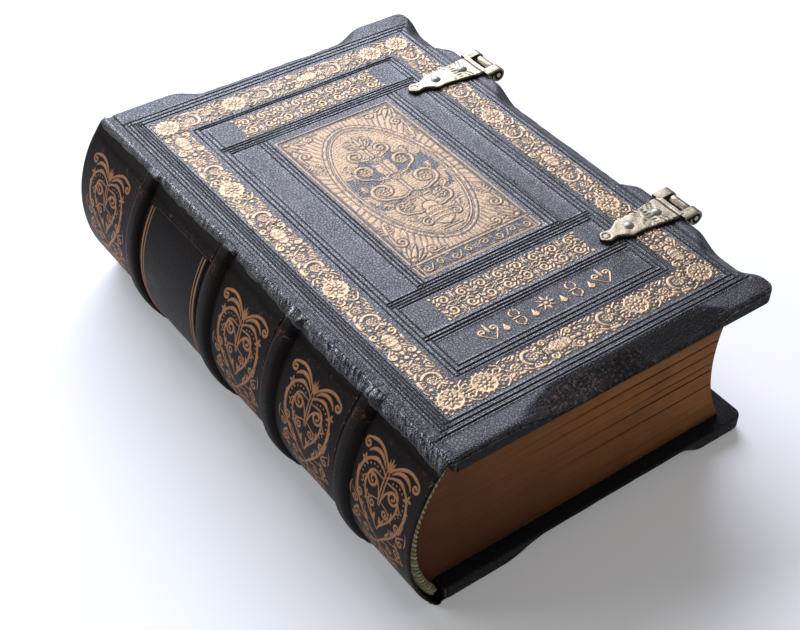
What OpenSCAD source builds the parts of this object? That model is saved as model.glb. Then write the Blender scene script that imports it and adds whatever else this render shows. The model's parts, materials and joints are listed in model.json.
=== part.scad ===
// Antique leather book with wooden boards, raised bands and two hinged clasps.
// It lies closed on its back cover: +X runs from the spine to the fore-edge, +Y from tail to head,
// +Z up. The origin is the middle of the whole outline, on the surface that the back cover lies on.

/* [Covers] */
// Height of the covers from tail to head
cover_h = 225; // [190:1:260]
// Width of the covers from the joint to the fore-edge
cover_w = 145; // [125:1:170]
// Thickness of one cover with its leather
cover_t = 7.3; // [6.5:0.1:9]
// Thickness of the cover leather
leather_t = 1; // [0.7:0.1:1.4]
// Radius of the cover's outer corners
corner_r = 4; // [2:0.5:8]
// Width of the leather turned in round the inside of a cover
turn_in_w = 16; // [10:1:24]
// Thickness of the pasted-down end paper
paper_t = 0.4; // [0.2:0.1:0.6]

/* [Edge bevels] */
// How far a bevel reaches over the outer face
bevel_face = 8; // [4:0.5:9]
// Thickness of the cover's edge that is left under a bevel
bevel_lip = 1.9; // [1.5:0.1:4]
// Length over which a bevel runs out at each end
bevel_run = 14; // [8:1:16]
// Uncut length between a head or tail bevel and the joint
bevel_from_joint = 26; // [15:1:40]
// Uncut length between a head or tail bevel and the fore-edge
bevel_from_fore = 20; // [10:1:30]
// Uncut length between a fore-edge bevel and the head or tail
bevel_from_end = 5; // [5:1:10]
// Uncut length left on each side of a clasp's middle
bevel_from_clasp = 14; // [12:0.5:20]

/* [Text block] */
// Thickness of the pages between the covers
block_t = 57.3; // [45:0.5:65]
// Gap between a cover and the pages
cover_gap = 0.3; // [0.2:0.1:0.6]
// How far the covers stand past the pages at head and tail
square_end = 6; // [5:0.5:10]
// Distance from the covers' fore-edge to the pages, under the front cover
square_fore_top = 15.2; // [10:0.2:20]
// Distance from the covers' fore-edge to the pages, on the back cover
square_fore_foot = 8.4; // [6:0.2:16]
// Depth of the hollow in the fore-edge of the pages
fore_hollow = 6.3; // [3:0.1:9]

/* [Spine] */
// Radius of the rounded back, over the leather
spine_r = 55; // [50:0.5:70]
// Thickness of the spine leather
spine_leather_t = 1.2; // [0.8:0.1:1.6]
// Thickness of the lining glued to the back of the pages
lining_t = 0.8; // [0.5:0.1:1.2]
// Rounding where the back turns into the covers
shoulder_r = 4; // [3.5:0.1:6]
// Flat leather between that rounding and the hinge line
joint_flat = 1; // [0.6:0.1:3]
// Gap on each side of the hinge line
joint_gap = 0.15; // [0.1:0.05:0.4]
// Heights of the spine's fields from the tail, up to the middle of each raised band
field_h = [38, 45.5, 44, 53.5]; // [30:0.5:56]
// Width of a raised band
band_w = 6.8; // [5:0.2:9]
// How far a raised band stands out
band_rise = 2.2; // [2:0.1:3]
// Radius of the sewing cord under a band
cord_r = 1.6; // [1.2:0.1:1.8]
// Radius of the endband cord
endband_r = 2.1; // [1.4:0.1:2.4]
// Thickness of the label on the spine
label_t = 0.4; // [0.3:0.1:0.8]
// Bare leather between the label and the bands
label_margin = 2.5; // [1.5:0.5:6]

/* [Tooling] */
// Thickness of the gilding over the leather
gilt_t = 0.3; // [0.2:0.1:0.5]
// Depth and width of a blind-tooled line
line_w = 0.8; // [0.5:0.1:1.2]
// Distance from the joint to the outer tooled line
frame_from_joint = 3.4; // [2:0.2:8]
// Distance from the fore-edge to the outer tooled line
frame_from_fore = 6.2; // [4:0.2:10]
// Distance from the head and tail edges to the outer tooled line
frame_from_end = 9.6; // [8:0.2:14]
// Distance from the outer tooled line to the gilt border
border_inset = 6; // [4:0.5:9]
// Width of the gilt border
border_w = 11; // [8:0.5:13]
// Distance from the gilt border to the inner tooled line
inner_line_gap = 2.2; // [1.5:0.1:4]
// Distance between the two lines of a pair
line_pair = 2.5; // [1.6:0.1:3]
// Width of the gilt centre panel
panel_w = 55; // [40:1:62]
// Width of the gilt strips above and below the panel
strip_w = 67; // [50:1:72]
// Height of the gilt strips
strip_h = 13; // [9:0.5:14]
// Distance from the gilt border to the head strip
strip_from_border = 4.6; // [3.8:0.1:8]
// Gap between the panel and a strip
strip_gap = 9.3; // [6:0.1:12]
// Gap between the tail strip and the row of single ornaments
row_gap = 7.6; // [5:0.1:9]
// Height of the single ornaments
row_h = 8; // [5:0.5:9]
// Distance from the gilt border to the row of single ornaments
row_from_border = 9; // [7:0.5:14]
// Gap between a gilt strip and the tooled line round it
strip_line_gap = 1.7; // [1.2:0.1:2.2]

/* [Clasps] */
// Distance of each clasp's middle from the head or tail edge
clasp_from_end = 54; // [48:0.5:62]
// Thickness of the clasp plates
plate_t = 1.2; // [0.8:0.1:1.6]
// Length of a clasp plate on the cover
plate_l = 35.5; // [30:0.5:40]
// Width of a clasp plate at the fore-edge
plate_w = 14; // [12:0.5:16]
// Length of the hinge barrel
barrel_l = 18; // [16:0.5:20]
// Radius of the hinge barrel
barrel_r = 3.1; // [2.8:0.1:3.4]
// Distance from the fore-edge to the hinge pin's axis
pin_out = 4.8; // [4.8:0.1:6]
// Radius of the hinge pin
pin_r = 1; // [0.8:0.1:1.2]
// Clearance round the pin and the rivet shanks
pin_clearance = 0.05; // [0.03:0.01:0.08]
// Length of the middle knuckle, which belongs to the arm
knuckle_l = 9; // [7:0.5:11]
// Radius of the middle knuckle
knuckle_r = 2.5; // [2:0.1:2.6]
// Gap between the middle knuckle and each outer one
knuckle_gap = 0.3; // [0.2:0.1:0.5]
// Thickness of the clasp arm
arm_t = 1.4; // [1:0.1:1.6]
// Width of the clasp arm at its waist
arm_w = 7; // [5:0.5:9]
// Length of the arm's straight neck and of the taper below it
arm_neck_l = 6; // [4:0.5:8]
// Height of the arm's foot
arm_foot_h = 5; // [4:0.5:7]
// Length of the taper above the foot
arm_foot_taper = 9; // [6:0.5:12]
// Radius of a rivet's head
rivet_head_r = 2.2; // [1.6:0.1:2.4]
// Radius of a rivet's shank
rivet_r = 0.9; // [0.6:0.1:1]
// Depth of a shank in the wood
rivet_depth = 3; // [2:0.5:3.5]

/* [Catches] */
// Thickness of a catch plate on the back cover's edge
catch_t = 1; // [0.7:0.1:1.2]
// Width of a catch plate
catch_w = 15; // [12:0.5:18]
// How far the catch's lip stands out from its plate
lip_out = 1.4; // [1:0.1:1.6]
// Thickness of the lip
lip_t = 2; // [1.5:0.1:2.2]
// Gap between the lip and the hook that hangs past it
hook_gap = 0.5; // [0.4:0.1:0.6]
// Thickness of the hook
hook_t = 1.5; // [1.2:0.1:1.6]

/* [Hidden] */
$fn = 48;

hair = 0.02;
total_t = 2 * cover_t + block_t + 2 * cover_gap;
mid_z = total_t / 2;

// Places along X. The whole outline runs from the raised bands to the hinge barrels.
shoulder_in = sqrt((spine_r - shoulder_r) ^ 2 - (mid_z - shoulder_r) ^ 2);
joint_from_back = spine_r - shoulder_in + joint_flat;
overall_w = band_rise + joint_from_back + cover_w + pin_out + barrel_r;
back_x = -overall_w / 2 + band_rise;
axis_x = back_x + spine_r;
joint_x = back_x + joint_from_back;
fore_x = joint_x + cover_w;
pin_x = fore_x + pin_out;
shoulder_angle = asin((mid_z - shoulder_r) / (spine_r - shoulder_r));

// The rounded back
back_inset = spine_leather_t + lining_t;
band_angle = shoulder_angle - 1;
cord_seat = 0.1;
lining_gap = 0.4;
endband_gap = 0.3;
cord_ring_r = spine_r - back_inset + cord_r + cord_seat;
band_ring_r = (band_w ^ 2 / 4 + band_rise ^ 2) / (2 * band_rise);
band_y = [for (i = [0 : 3]) -cover_h / 2 + sum(field_h, i)];
field_edges = concat([-cover_h / 2], band_y, [cover_h / 2]);
label_field = 3;
spine_margin = 3;
label_angle = shoulder_angle - 8;
block_h = cover_h - 2 * square_end;

// The pages' hollow fore-edge is a round cut through both edges of the block
block_low = cover_t + cover_gap;
block_high = block_low + block_t;
hollow_lean = square_fore_top - square_fore_foot;
hollow_chord = sqrt(block_t ^ 2 + hollow_lean ^ 2);
hollow_r = (hollow_chord ^ 2 / 4 + fore_hollow ^ 2) / (2 * fore_hollow);
hollow_x = fore_x - (square_fore_top + square_fore_foot) / 2 + (hollow_r - fore_hollow) * block_t / hollow_chord;
hollow_z = mid_z + (hollow_r - fore_hollow) * hollow_lean / hollow_chord;

// The leather over a bevel keeps its thickness, so the wood's bevel is a little smaller
bevel_edge = cover_t - bevel_lip;
bevel_inner = 1 + leather_t * (sqrt(1 / bevel_face ^ 2 + 1 / bevel_edge ^ 2) - 1 / bevel_face - 1 / bevel_edge);

// Tooled frame on the covers
frame_w = cover_w - frame_from_joint - frame_from_fore;
frame_h = cover_h - 2 * frame_from_end;
frame_x = joint_x + frame_from_joint + frame_w / 2;
line_depth = line_w / 2;
inner_line_inset = border_inset + border_w + inner_line_gap;
field_top = frame_h / 2 - border_inset - border_w;
strip_head_y = field_top - strip_from_border - strip_h / 2;
row_y = -field_top + row_from_border + row_h / 2;
strip_tail_y = row_y + row_h / 2 + row_gap + strip_h / 2;
panel_h = strip_head_y - strip_tail_y - strip_h - 2 * strip_gap;
panel_up = (strip_head_y + strip_tail_y) / 2;
gilt_pitch = strip_h * 0.7;
fillet_w = 0.7;
ornament_gap = 0.8;
panel_line_in = 2.5;
panel_ground_in = 4.5;

// Clasps and catches
clasp_y = cover_h / 2 - clasp_from_end;
plate_low = total_t + gilt_t;
barrel_proud = 0.3;
pin_z = plate_low + plate_t + barrel_proud - barrel_r;
rivet_at = [8, 22];
head_h = 1;
window_l = knuckle_l + 2 * knuckle_gap;
ear_l = (barrel_l - window_l) / 2;
catch_low = 0.8;
lip_low = cover_t - catch_low - lip_t - 0.4;
hook_top = lip_low - 0.4;
hook_low = hook_top - hook_t;
hook_in_x = fore_x + catch_t + lip_out + hook_gap;
nail_y = catch_w / 2 - 2.6;
nail_head_r = 1.3;
nail_r = 0.6;
nail_depth = 6;

leather_colour = [0.13, 0.09, 0.08];
spine_colour = [0.11, 0.07, 0.055];
gold_colour = [0.84, 0.62, 0.42];
spine_gold_colour = [0.62, 0.42, 0.28];
page_colour = [0.66, 0.42, 0.22];
paper_colour = [0.85, 0.79, 0.66];
wood_colour = [0.5, 0.34, 0.2];
cord_colour = [0.78, 0.72, 0.55];
band_colour = [0.78, 0.74, 0.5];
brass_colour = [0.5, 0.45, 0.32];
steel_colour = [0.62, 0.62, 0.58];

// Sum of the first entries of a list, up to and with number n
function sum(list, n) = n < 0 ? 0 : list[n] + sum(list, n - 1);

// Points on a round stretch, from one angle to another
function arc(centre, r, from, to, steps) =
    [for (i = [0 : steps]) centre + r * [cos(from + (to - from) * i / steps), sin(from + (to - from) * i / steps)]];

// Outline of the rounded back in X and Z, taken in by inset and closed at end_x
function back_outline(inset, end_x) = concat(
    [[end_x, total_t - inset]],
    arc([axis_x - shoulder_in, total_t - shoulder_r], shoulder_r - inset, 90, 180 - shoulder_angle, 6),
    arc([axis_x, mid_z], spine_r - inset, 180 - shoulder_angle, 180 + shoulder_angle, 40),
    arc([axis_x - shoulder_in, shoulder_r], shoulder_r - inset, 180 + shoulder_angle, 270, 6),
    [[end_x, inset]]);

// A heart-shaped outline one unit high and about one wide, with its point down
function heart(size) =
    [for (i = [0 : 35]) let (t = i * 10)
        size / 34 * [16 * sin(t) ^ 3, 13 * cos(t) - 5 * cos(2 * t) - 2 * cos(3 * t) - cos(4 * t)]];

// Extrudes an X and Z outline along Y, from y0 to y1
module along_y(y0, y1) {
    translate([0, y1, 0])
        rotate([90, 0, 0])
            linear_extrude(y1 - y0)
                children();
}

// A round bar along Y
module bar_y(x, z, r, y0, y1) {
    translate([x, y1, z])
        rotate([90, 0, 0])
            cylinder(r = r, h = y1 - y0);
}

// A ring stretch round the back's axis, from a section drawn at radius and height
module back_ring(y, half_angle) {
    translate([axis_x, y, mid_z])
        rotate([90, 0, 0])
            rotate_extrude(angle = 2 * half_angle, start = 180 - half_angle, $fn = 180)
                children();
}

// Text block

module text_block() {
    color(page_colour)
        difference() {
            union() {
                along_y(-block_h / 2, block_h / 2)
                    polygon(back_outline(back_inset, joint_x - joint_gap));
                translate([joint_x - joint_gap - 1, -block_h / 2, block_low])
                    cube([cover_w + joint_gap + 1, block_h, block_t]);
            }
            bar_y(hollow_x, hollow_z, hollow_r, -block_h / 2 - 1, block_h / 2 + 1, $fn = 180);
        }
}

module spine_lining() {
    color(paper_colour)
        for (i = [0 : 4]) {
            low = max(field_edges[i], -block_h / 2) + (i == 0 ? 0 : cord_r + lining_gap);
            high = min(field_edges[i + 1], block_h / 2) - (i == 4 ? 0 : cord_r + lining_gap);
            back_ring((low + high) / 2, band_angle)
                translate([spine_r - back_inset + hair, -(high - low) / 2])
                    square([lining_t - 2 * hair, high - low]);
        }
}

module sewing_cord(i) {
    color(cord_colour)
        back_ring(band_y[i - 1], band_angle)
            translate([cord_ring_r, 0])
                circle(cord_r);
}

module endband(side) {
    color(band_colour)
        back_ring(side * (block_h / 2 + endband_r + endband_gap), band_angle)
            translate([spine_r - spine_leather_t - endband_r - endband_gap, 0])
                circle(endband_r);
}

// Spine leather

module spine_leather() {
    color(spine_colour)
        difference() {
            union() {
                along_y(-cover_h / 2, cover_h / 2)
                    polygon(back_outline(0, joint_x - joint_gap));
                for (y = band_y)
                    back_ring(y, band_angle)
                        translate([spine_r + band_rise - band_ring_r, 0])
                            circle(band_ring_r);
            }
            along_y(-cover_h / 2 - 1, cover_h / 2 + 1)
                polygon(back_outline(spine_leather_t, joint_x + 1));
            for (y = band_y)
                back_ring(y, band_angle + 0.5)
                    translate([cord_ring_r, 0])
                        circle(cord_r + pin_clearance);
        }
}

module spine_label() {
    low = field_edges[label_field] + band_w / 2 + label_margin;
    high = field_edges[label_field + 1] - band_w / 2 - label_margin;
    color(leather_colour)
        back_ring((low + high) / 2, label_angle)
            translate([spine_r + hair, -(high - low) / 2])
                square([label_t, high - low]);
}

// One ornament for a spine field: a heart in a heart, with dots at its sides and ends
module spine_ornament(size) {
    difference() {
        polygon(heart(size));
        polygon(heart(size * 0.78));
    }
    polygon(heart(size * 0.5));
    for (s = [-1, 1])
        for (t = [-1, 1])
            translate([s * size * 0.62, t * size * 0.42])
                circle(size * 0.09);
    for (t = [-1, 1])
        translate([0, t * size * 0.72])
            rotate(45)
                square(size * 0.16, center = true);
}

module spine_gilding() {
    color(spine_gold_colour)
        intersection() {
            back_ring(0, label_angle)
                translate([spine_r + hair, -cover_h / 2])
                    square([gilt_t, cover_h]);
            union() {
                for (i = [0, 1, 2, 4]) {
                    low = field_edges[i] + (i == 0 ? spine_margin : band_w / 2);
                    high = field_edges[i + 1] - (i == 4 ? spine_margin : band_w / 2);
                    translate([back_x - 1, (low + high) / 2, mid_z])
                        rotate([90, 0, 90])
                            linear_extrude(spine_r / 2)
                                rotate(-90)
                                    spine_ornament(min(high - low, total_t * 0.62) * 0.58);
                }
                low = field_edges[label_field];
                high = field_edges[label_field + 1];
                for (y = [low + band_w / 2 + 0.4, high - band_w / 2 - 0.4 - fillet_w])
                    translate([back_x - 1, y, 0])
                        cube([spine_r / 2, fillet_w, total_t]);
            }
        }
}

// Covers, each drawn with its outer face at z = 0 and its inner face below

// The cover's block form, taken in at the edges, the outer face and the inner face
module slab(edge_in, outer_in, inner_in) {
    r = corner_r - edge_in;
    w = cover_w - edge_in - joint_gap;
    h = cover_h - 2 * edge_in;
    translate([joint_gap, 0, -cover_t + inner_in]) {
        deep = cover_t - inner_in - outer_in;
        translate([0, -h / 2, 0])
            cube([w - r, h, deep]);
        translate([0, -h / 2 + r, 0])
            cube([w, h - 2 * r, deep]);
        for (s = [-1, 1])
            translate([w - r, s * (h / 2 - r), 0])
                cylinder(r = r, h = deep);
    }
}

// A wedge that cuts a stopped bevel along X: the stock lies at y > 0 and z < 0
module stopped_bevel(length, part) {
    f = bevel_face * part;
    e = bevel_edge * part;
    out = 0.3;
    stations = [[0, -0.05], [bevel_run, 1], [length - bevel_run, 1], [length, -0.05]];
    points = [for (s = stations)
        each [[s[0], f * (s[1] + out), e * out], [s[0], -f * out, -e * (s[1] + out)], [s[0], -f * out, e * out]]];
    sides = [for (i = [0 : 2])
        each [[3 * i, 3 * i + 1, 3 * i + 4, 3 * i + 3],
              [3 * i + 1, 3 * i + 2, 3 * i + 5, 3 * i + 4],
              [3 * i + 2, 3 * i, 3 * i + 3, 3 * i + 5]]];
    polyhedron(points = points, faces = concat([[2, 1, 0], [9, 10, 11]], sides), convexity = 4);
}

module bevels(edge_in, outer_in, part) {
    end_l = cover_w - bevel_from_joint - bevel_from_fore;
    side_l = cover_h / 2 - clasp_y - bevel_from_clasp - bevel_from_end;
    middle_l = 2 * (clasp_y - bevel_from_clasp);
    for (s = [0, 1])
        mirror([0, s, 0])
            translate([bevel_from_joint, -cover_h / 2 + edge_in, -outer_in])
                stopped_bevel(end_l, part);
    for (y = [-cover_h / 2 + bevel_from_end, -middle_l / 2, clasp_y + bevel_from_clasp])
        translate([cover_w - edge_in, y, -outer_in])
            rotate([0, 0, 90])
                stopped_bevel(abs(y) == middle_l / 2 ? middle_l : side_l, part);
}

// A plain rectangular frame in the plane, w by h outside
module frame_2d(w, h, line) {
    difference() {
        square([w, h], center = true);
        square([w - 2 * line, h - 2 * line], center = true);
    }
}

// Blind-tooled lines, as cutters over the outer face
module tooled_lines(full) {
    translate([frame_x - joint_x, 0, -line_depth])
        linear_extrude(1) {
            frame_2d(frame_w, frame_h, line_w);
            frame_2d(frame_w - 2 * line_pair, frame_h - 2 * line_pair, line_w);
            if (full) {
                inner_w = frame_w - 2 * inner_line_inset;
                inner_h = frame_h - 2 * inner_line_inset;
                frame_2d(inner_w, inner_h, line_w);
                frame_2d(inner_w - 2 * line_pair, inner_h - 2 * line_pair, line_w);
                translate([0, panel_up])
                    frame_2d(strip_w + 2 * line_pair, panel_h + 2 * strip_gap - 2 * line_pair, line_w);
                for (y = [strip_head_y, strip_tail_y])
                    translate([0, y])
                        frame_2d(strip_w + 2 * strip_line_gap, strip_h + 2 * strip_line_gap, line_w);
            }
        }
}

// The opening between the turned-in edges of the leather
module window_form() {
    translate([-1, -cover_h / 2 + turn_in_w, -cover_t - 1])
        cube([cover_w - turn_in_w + 1, cover_h - 2 * turn_in_w, 1 + leather_t]);
}

// The wooden board, with its middle standing level with the turned-in leather
module board_form() {
    difference() {
        slab(leather_t, leather_t, leather_t);
        bevels(leather_t, leather_t, bevel_inner);
    }
    translate([joint_gap, -cover_h / 2 + turn_in_w, -cover_t + paper_t])
        cube([cover_w - turn_in_w - joint_gap, cover_h - 2 * turn_in_w, leather_t]);
}

module cover_leather_form(full) {
    difference() {
        slab(0, 0, 0);
        bevels(0, 0, 1);
        difference() {
            translate([-1, 0, 0])
                slab(leather_t, leather_t, leather_t);
            bevels(leather_t, leather_t, bevel_inner);
        }
        difference() {
            slab(leather_t, leather_t, leather_t);
            bevels(leather_t, leather_t, bevel_inner);
        }
        window_form();
        tooled_lines(full);
    }
}

module pastedown_form() {
    translate([joint_gap, -cover_h / 2 + turn_in_w, -cover_t])
        cube([cover_w - turn_in_w - joint_gap, cover_h - 2 * turn_in_w, paper_t]);
}

module at_front() {
    translate([joint_x, 0, total_t])
        children();
}

module at_back() {
    translate([joint_x, 0, 0])
        mirror([0, 0, 1])
            children();
}

module front_board() {
    color(wood_colour)
        difference() {
            at_front() board_form();
            rivet_holes();
        }
}

module front_cover_leather() {
    color(leather_colour)
        difference() {
            at_front() cover_leather_form(true);
            rivet_holes();
        }
}

module front_pastedown() {
    color(paper_colour)
        at_front() pastedown_form();
}

module back_board() {
    color(wood_colour)
        difference() {
            at_back() board_form();
            nail_holes();
        }
}

module back_cover_leather() {
    color(leather_colour)
        difference() {
            at_back() cover_leather_form(false);
            nail_holes();
        }
}

module back_pastedown() {
    color(paper_colour)
        at_back() pastedown_form();
}

// Gilding on the front cover: fields of simple foliage shapes between thin gilt lines

// A four-petal flower, r from its middle to a petal's far side
module flower(r) {
    circle(r * 0.36);
    for (a = [0 : 90 : 270])
        rotate(a)
            translate([r * 0.66, 0])
                circle(r * 0.34);
}

// A leaf as long as 2 r, drawn as a lozenge with a dot on each side
module leaf(r) {
    polygon([[-r, 0], [0, r * 0.5], [r, 0], [0, -r * 0.5]]);
    for (s = [-1, 1])
        translate([0, s * r * 0.62])
            circle(r * 0.24);
}

// A row of flowers and leaves centred on the origin along X
module foliage_row(length, r) {
    n = floor(length / gilt_pitch);
    for (i = [0 : n - 1])
        translate([(i - (n - 1) / 2) * length / n, 0])
            if (i % 2 == 0) flower(r); else leaf(r);
}

module on_cover() {
    color(gold_colour)
        translate([frame_x, 0, total_t])
            linear_extrude(gilt_t)
                children();
}

module gilt_border() {
    w = frame_w - 2 * border_inset;
    h = frame_h - 2 * border_inset;
    r = border_w / 2 - fillet_w - ornament_gap;
    color(gold_colour)
        difference() {
            on_cover() {
                frame_2d(w, h, fillet_w);
                frame_2d(w - 2 * (border_w - fillet_w), h - 2 * (border_w - fillet_w), fillet_w);
                for (s = [-1, 1]) {
                    translate([0, s * (h - border_w) / 2])
                        foliage_row(w - 2 * border_w, r);
                    translate([s * (w - border_w) / 2, 0])
                        rotate(90)
                            foliage_row(h - 2 * border_w, r);
                    for (t = [-1, 1])
                        translate([s * (w - border_w) / 2, t * (h - border_w) / 2])
                            flower(r);
                }
            }
            rivet_holes();
        }
}

// An oval from its two half axes
module oval(a, b) {
    polygon([for (i = [0 : 47]) [a * cos(i * 7.5), b * sin(i * 7.5)]]);
}

module gilt_panel() {
    r = panel_w * 0.19;
    on_cover()
        translate([0, panel_up]) {
            frame_2d(panel_w, panel_h, fillet_w * 1.6);
            frame_2d(panel_w - 2 * panel_line_in, panel_h - 2 * panel_line_in, fillet_w);
            difference() {
                square([panel_w - 2 * panel_ground_in, panel_h - 2 * panel_ground_in], center = true);
                oval(panel_w * 0.4, panel_h * 0.4);
            }
            difference() {
                oval(panel_w * 0.36, panel_h * 0.37);
                oval(panel_w * 0.33, panel_h * 0.35);
            }
            flower(r);
            for (s = [-1, 1])
                translate([0, s * panel_h * 0.22])
                    rotate(90)
                        leaf(r);
        }
}

module gilt_strip(y) {
    on_cover()
        translate([0, y]) {
            frame_2d(strip_w, strip_h, fillet_w);
            foliage_row(strip_w - 4 * fillet_w, strip_h / 2 - fillet_w - ornament_gap);
        }
}

module gilt_ornament_row() {
    t = row_h * 0.18;
    on_cover()
        translate([0, row_y])
            for (i = [-2 : 2])
                translate([i * strip_w / 5, 0]) {
                    flower(row_h / 2);
                    if (i < 2)
                        translate([strip_w / 10, -row_h / 4])
                            polygon([[-t, -t], [t, -t], [0, t]]);
                }
}

// Clasps, each at its own place along Y

module plate_outline() {
    tip = plate_w * 0.2;
    polygon([[-plate_l + tip, -tip], [-plate_l * 0.62, -tip * 1.5], [-plate_l * 0.3, -plate_w * 0.42],
             [0, -plate_w / 2], [0, plate_w / 2], [-plate_l * 0.3, plate_w * 0.42],
             [-plate_l * 0.62, tip * 1.5], [-plate_l + tip, tip]]);
    translate([-plate_l + tip, 0])
        circle(tip * 1.15);
    for (s = [-1, 1])
        translate([-plate_l * 0.66, s * tip * 1.1])
            circle(tip * 0.9);
}

module rivet_holes() {
    for (y = [-clasp_y, clasp_y])
        for (d = rivet_at)
            translate([fore_x - d, y, total_t - leather_t - rivet_depth])
                cylinder(r = rivet_r + pin_clearance, h = leather_t + rivet_depth + gilt_t + plate_t + 1);
}

module clasp_plate(y) {
    color(brass_colour)
        difference() {
            union() {
                translate([fore_x, y, plate_low])
                    linear_extrude(plate_t)
                        plate_outline();
                for (s = [-1, 1]) {
                    low = s < 0 ? y - barrel_l / 2 : y + window_l / 2;
                    bar_y(pin_x, pin_z, barrel_r, low, low + ear_l);
                    translate([fore_x - 1, low, plate_low])
                        cube([pin_out + 1, ear_l, plate_t]);
                }
            }
            bar_y(pin_x, pin_z, pin_r + pin_clearance, y - barrel_l, y + barrel_l);
            rivet_holes();
        }
}

module clasp_pin(y) {
    color(steel_colour)
        bar_y(pin_x, pin_z, pin_r, y - barrel_l / 2, y + barrel_l / 2);
}

module dome(r, h) {
    ball_r = (r ^ 2 + h ^ 2) / (2 * h);
    intersection() {
        translate([0, 0, h - ball_r])
            sphere(r = ball_r);
        cylinder(r = r + 1, h = h + 1);
    }
}

module clasp_rivets() {
    color(steel_colour)
        for (y = [-clasp_y, clasp_y])
            for (d = rivet_at)
                translate([fore_x - d, y, plate_low + plate_t]) {
                    dome(rivet_head_r, head_h);
                    translate([0, 0, -plate_t - gilt_t - leather_t - rivet_depth + 0.1])
                        cylinder(r = rivet_r, h = plate_t + gilt_t + leather_t + rivet_depth);
                }
}

module clasp_arm(y) {
    strap_top = pin_z - pin_r - 0.5;
    foot_w = catch_w - 4;
    half_outline = [[knuckle_l / 2, strap_top], [knuckle_l / 2, strap_top - arm_neck_l],
        [arm_w / 2, strap_top - 2 * arm_neck_l], [arm_w / 2, hook_low + arm_foot_h + arm_foot_taper],
        [foot_w / 2, hook_low + arm_foot_h], [foot_w / 2, hook_low]];
    color(brass_colour)
        difference() {
            union() {
                bar_y(pin_x, pin_z, knuckle_r, y - knuckle_l / 2, y + knuckle_l / 2);
                translate([pin_x - arm_t / 2, y, 0])
                    rotate([90, 0, 90])
                        linear_extrude(arm_t)
                            for (s = [0, 1])
                                mirror([s, 0])
                                    polygon(concat([[-hair, hook_low], [-hair, strap_top]], half_outline));
                translate([hook_in_x, y - foot_w / 2, hook_low])
                    cube([pin_x - hook_in_x, foot_w, hook_t]);
            }
            bar_y(pin_x, pin_z, pin_r + pin_clearance, y - barrel_l, y + barrel_l);
        }
}

// Catches on the back cover's edge

module nail_holes() {
    for (y = [-clasp_y, clasp_y])
        for (s = [-1, 1])
            translate([fore_x - nail_depth, y + s * nail_y, lip_low - nail_head_r])
                rotate([0, 90, 0])
                    cylinder(r = nail_r + pin_clearance, h = nail_depth + catch_t + 1);
}

module catch_plate(y) {
    color(brass_colour)
        difference() {
            union() {
                translate([fore_x, y - catch_w / 2, catch_low])
                    cube([catch_t, catch_w, cover_t - 2 * catch_low]);
                translate([fore_x, y - nail_y + nail_head_r + 0.4, lip_low])
                    cube([catch_t + lip_out, 2 * (nail_y - nail_head_r - 0.4), lip_t]);
            }
            nail_holes();
        }
}

module catch_nails() {
    color(steel_colour)
        for (y = [-clasp_y, clasp_y])
            for (s = [-1, 1])
                translate([fore_x + catch_t, y + s * nail_y, lip_low - nail_head_r])
                    rotate([0, 90, 0]) {
                        dome(nail_head_r, 0.5);
                        translate([0, 0, -catch_t - nail_depth + 0.2])
                            cylinder(r = nail_r, h = nail_depth + catch_t);
                    }
}

text_block();
spine_lining();
sewing_cord(1);  // sewing_cord_1
sewing_cord(2);  // sewing_cord_2
sewing_cord(3);  // sewing_cord_3
sewing_cord(4);  // sewing_cord_4
endband(1);  // head_endband
endband(-1);  // tail_endband
spine_leather();
spine_label();
spine_gilding();
front_board();
front_cover_leather();
front_pastedown();
gilt_border();
gilt_panel();
gilt_strip(strip_head_y);  // gilt_strip_head
gilt_strip(strip_tail_y);  // gilt_strip_tail
gilt_ornament_row();
clasp_plate(clasp_y);  // clasp_plate_head
clasp_plate(-clasp_y);  // clasp_plate_tail
clasp_pin(clasp_y);  // clasp_pin_head
clasp_pin(-clasp_y);  // clasp_pin_tail
clasp_rivets();
clasp_arm(clasp_y);  // clasp_arm_head
clasp_arm(-clasp_y);  // clasp_arm_tail
back_board();
back_cover_leather();
back_pastedown();
catch_plate(clasp_y);  // catch_plate_head
catch_plate(-clasp_y);  // catch_plate_tail
catch_nails();
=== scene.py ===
import json
import math

import bmesh
import bpy
import numpy as np
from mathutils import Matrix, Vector


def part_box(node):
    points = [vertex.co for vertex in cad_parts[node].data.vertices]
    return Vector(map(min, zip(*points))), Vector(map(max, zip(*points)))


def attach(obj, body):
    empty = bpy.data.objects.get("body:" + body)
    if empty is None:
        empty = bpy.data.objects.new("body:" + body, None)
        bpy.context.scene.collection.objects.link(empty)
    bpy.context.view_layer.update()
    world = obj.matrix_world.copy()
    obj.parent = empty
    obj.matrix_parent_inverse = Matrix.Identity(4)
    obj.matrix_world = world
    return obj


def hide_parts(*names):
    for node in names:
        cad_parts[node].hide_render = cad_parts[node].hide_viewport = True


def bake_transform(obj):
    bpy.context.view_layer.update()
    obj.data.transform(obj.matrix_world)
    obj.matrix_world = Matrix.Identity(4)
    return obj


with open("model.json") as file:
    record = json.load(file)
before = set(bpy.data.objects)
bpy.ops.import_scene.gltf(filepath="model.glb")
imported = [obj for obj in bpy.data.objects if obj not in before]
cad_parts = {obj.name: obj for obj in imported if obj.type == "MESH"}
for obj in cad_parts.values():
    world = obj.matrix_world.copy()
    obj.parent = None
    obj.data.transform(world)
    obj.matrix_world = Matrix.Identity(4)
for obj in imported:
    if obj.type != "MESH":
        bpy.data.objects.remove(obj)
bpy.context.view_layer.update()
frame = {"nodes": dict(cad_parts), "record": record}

bl_info = {
    "name": "Antique leather book",
    "version": (1, 0, 0),
    "blender": (4, 5, 0),
    "location": "3D View > Sidebar > Old Book",
    "description": "Dresses an old leather-bound book with tooling, gilding, pages and clasps",
    "category": "Object",
}

NODES = frame["nodes"]
MM = 1000.0

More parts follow.
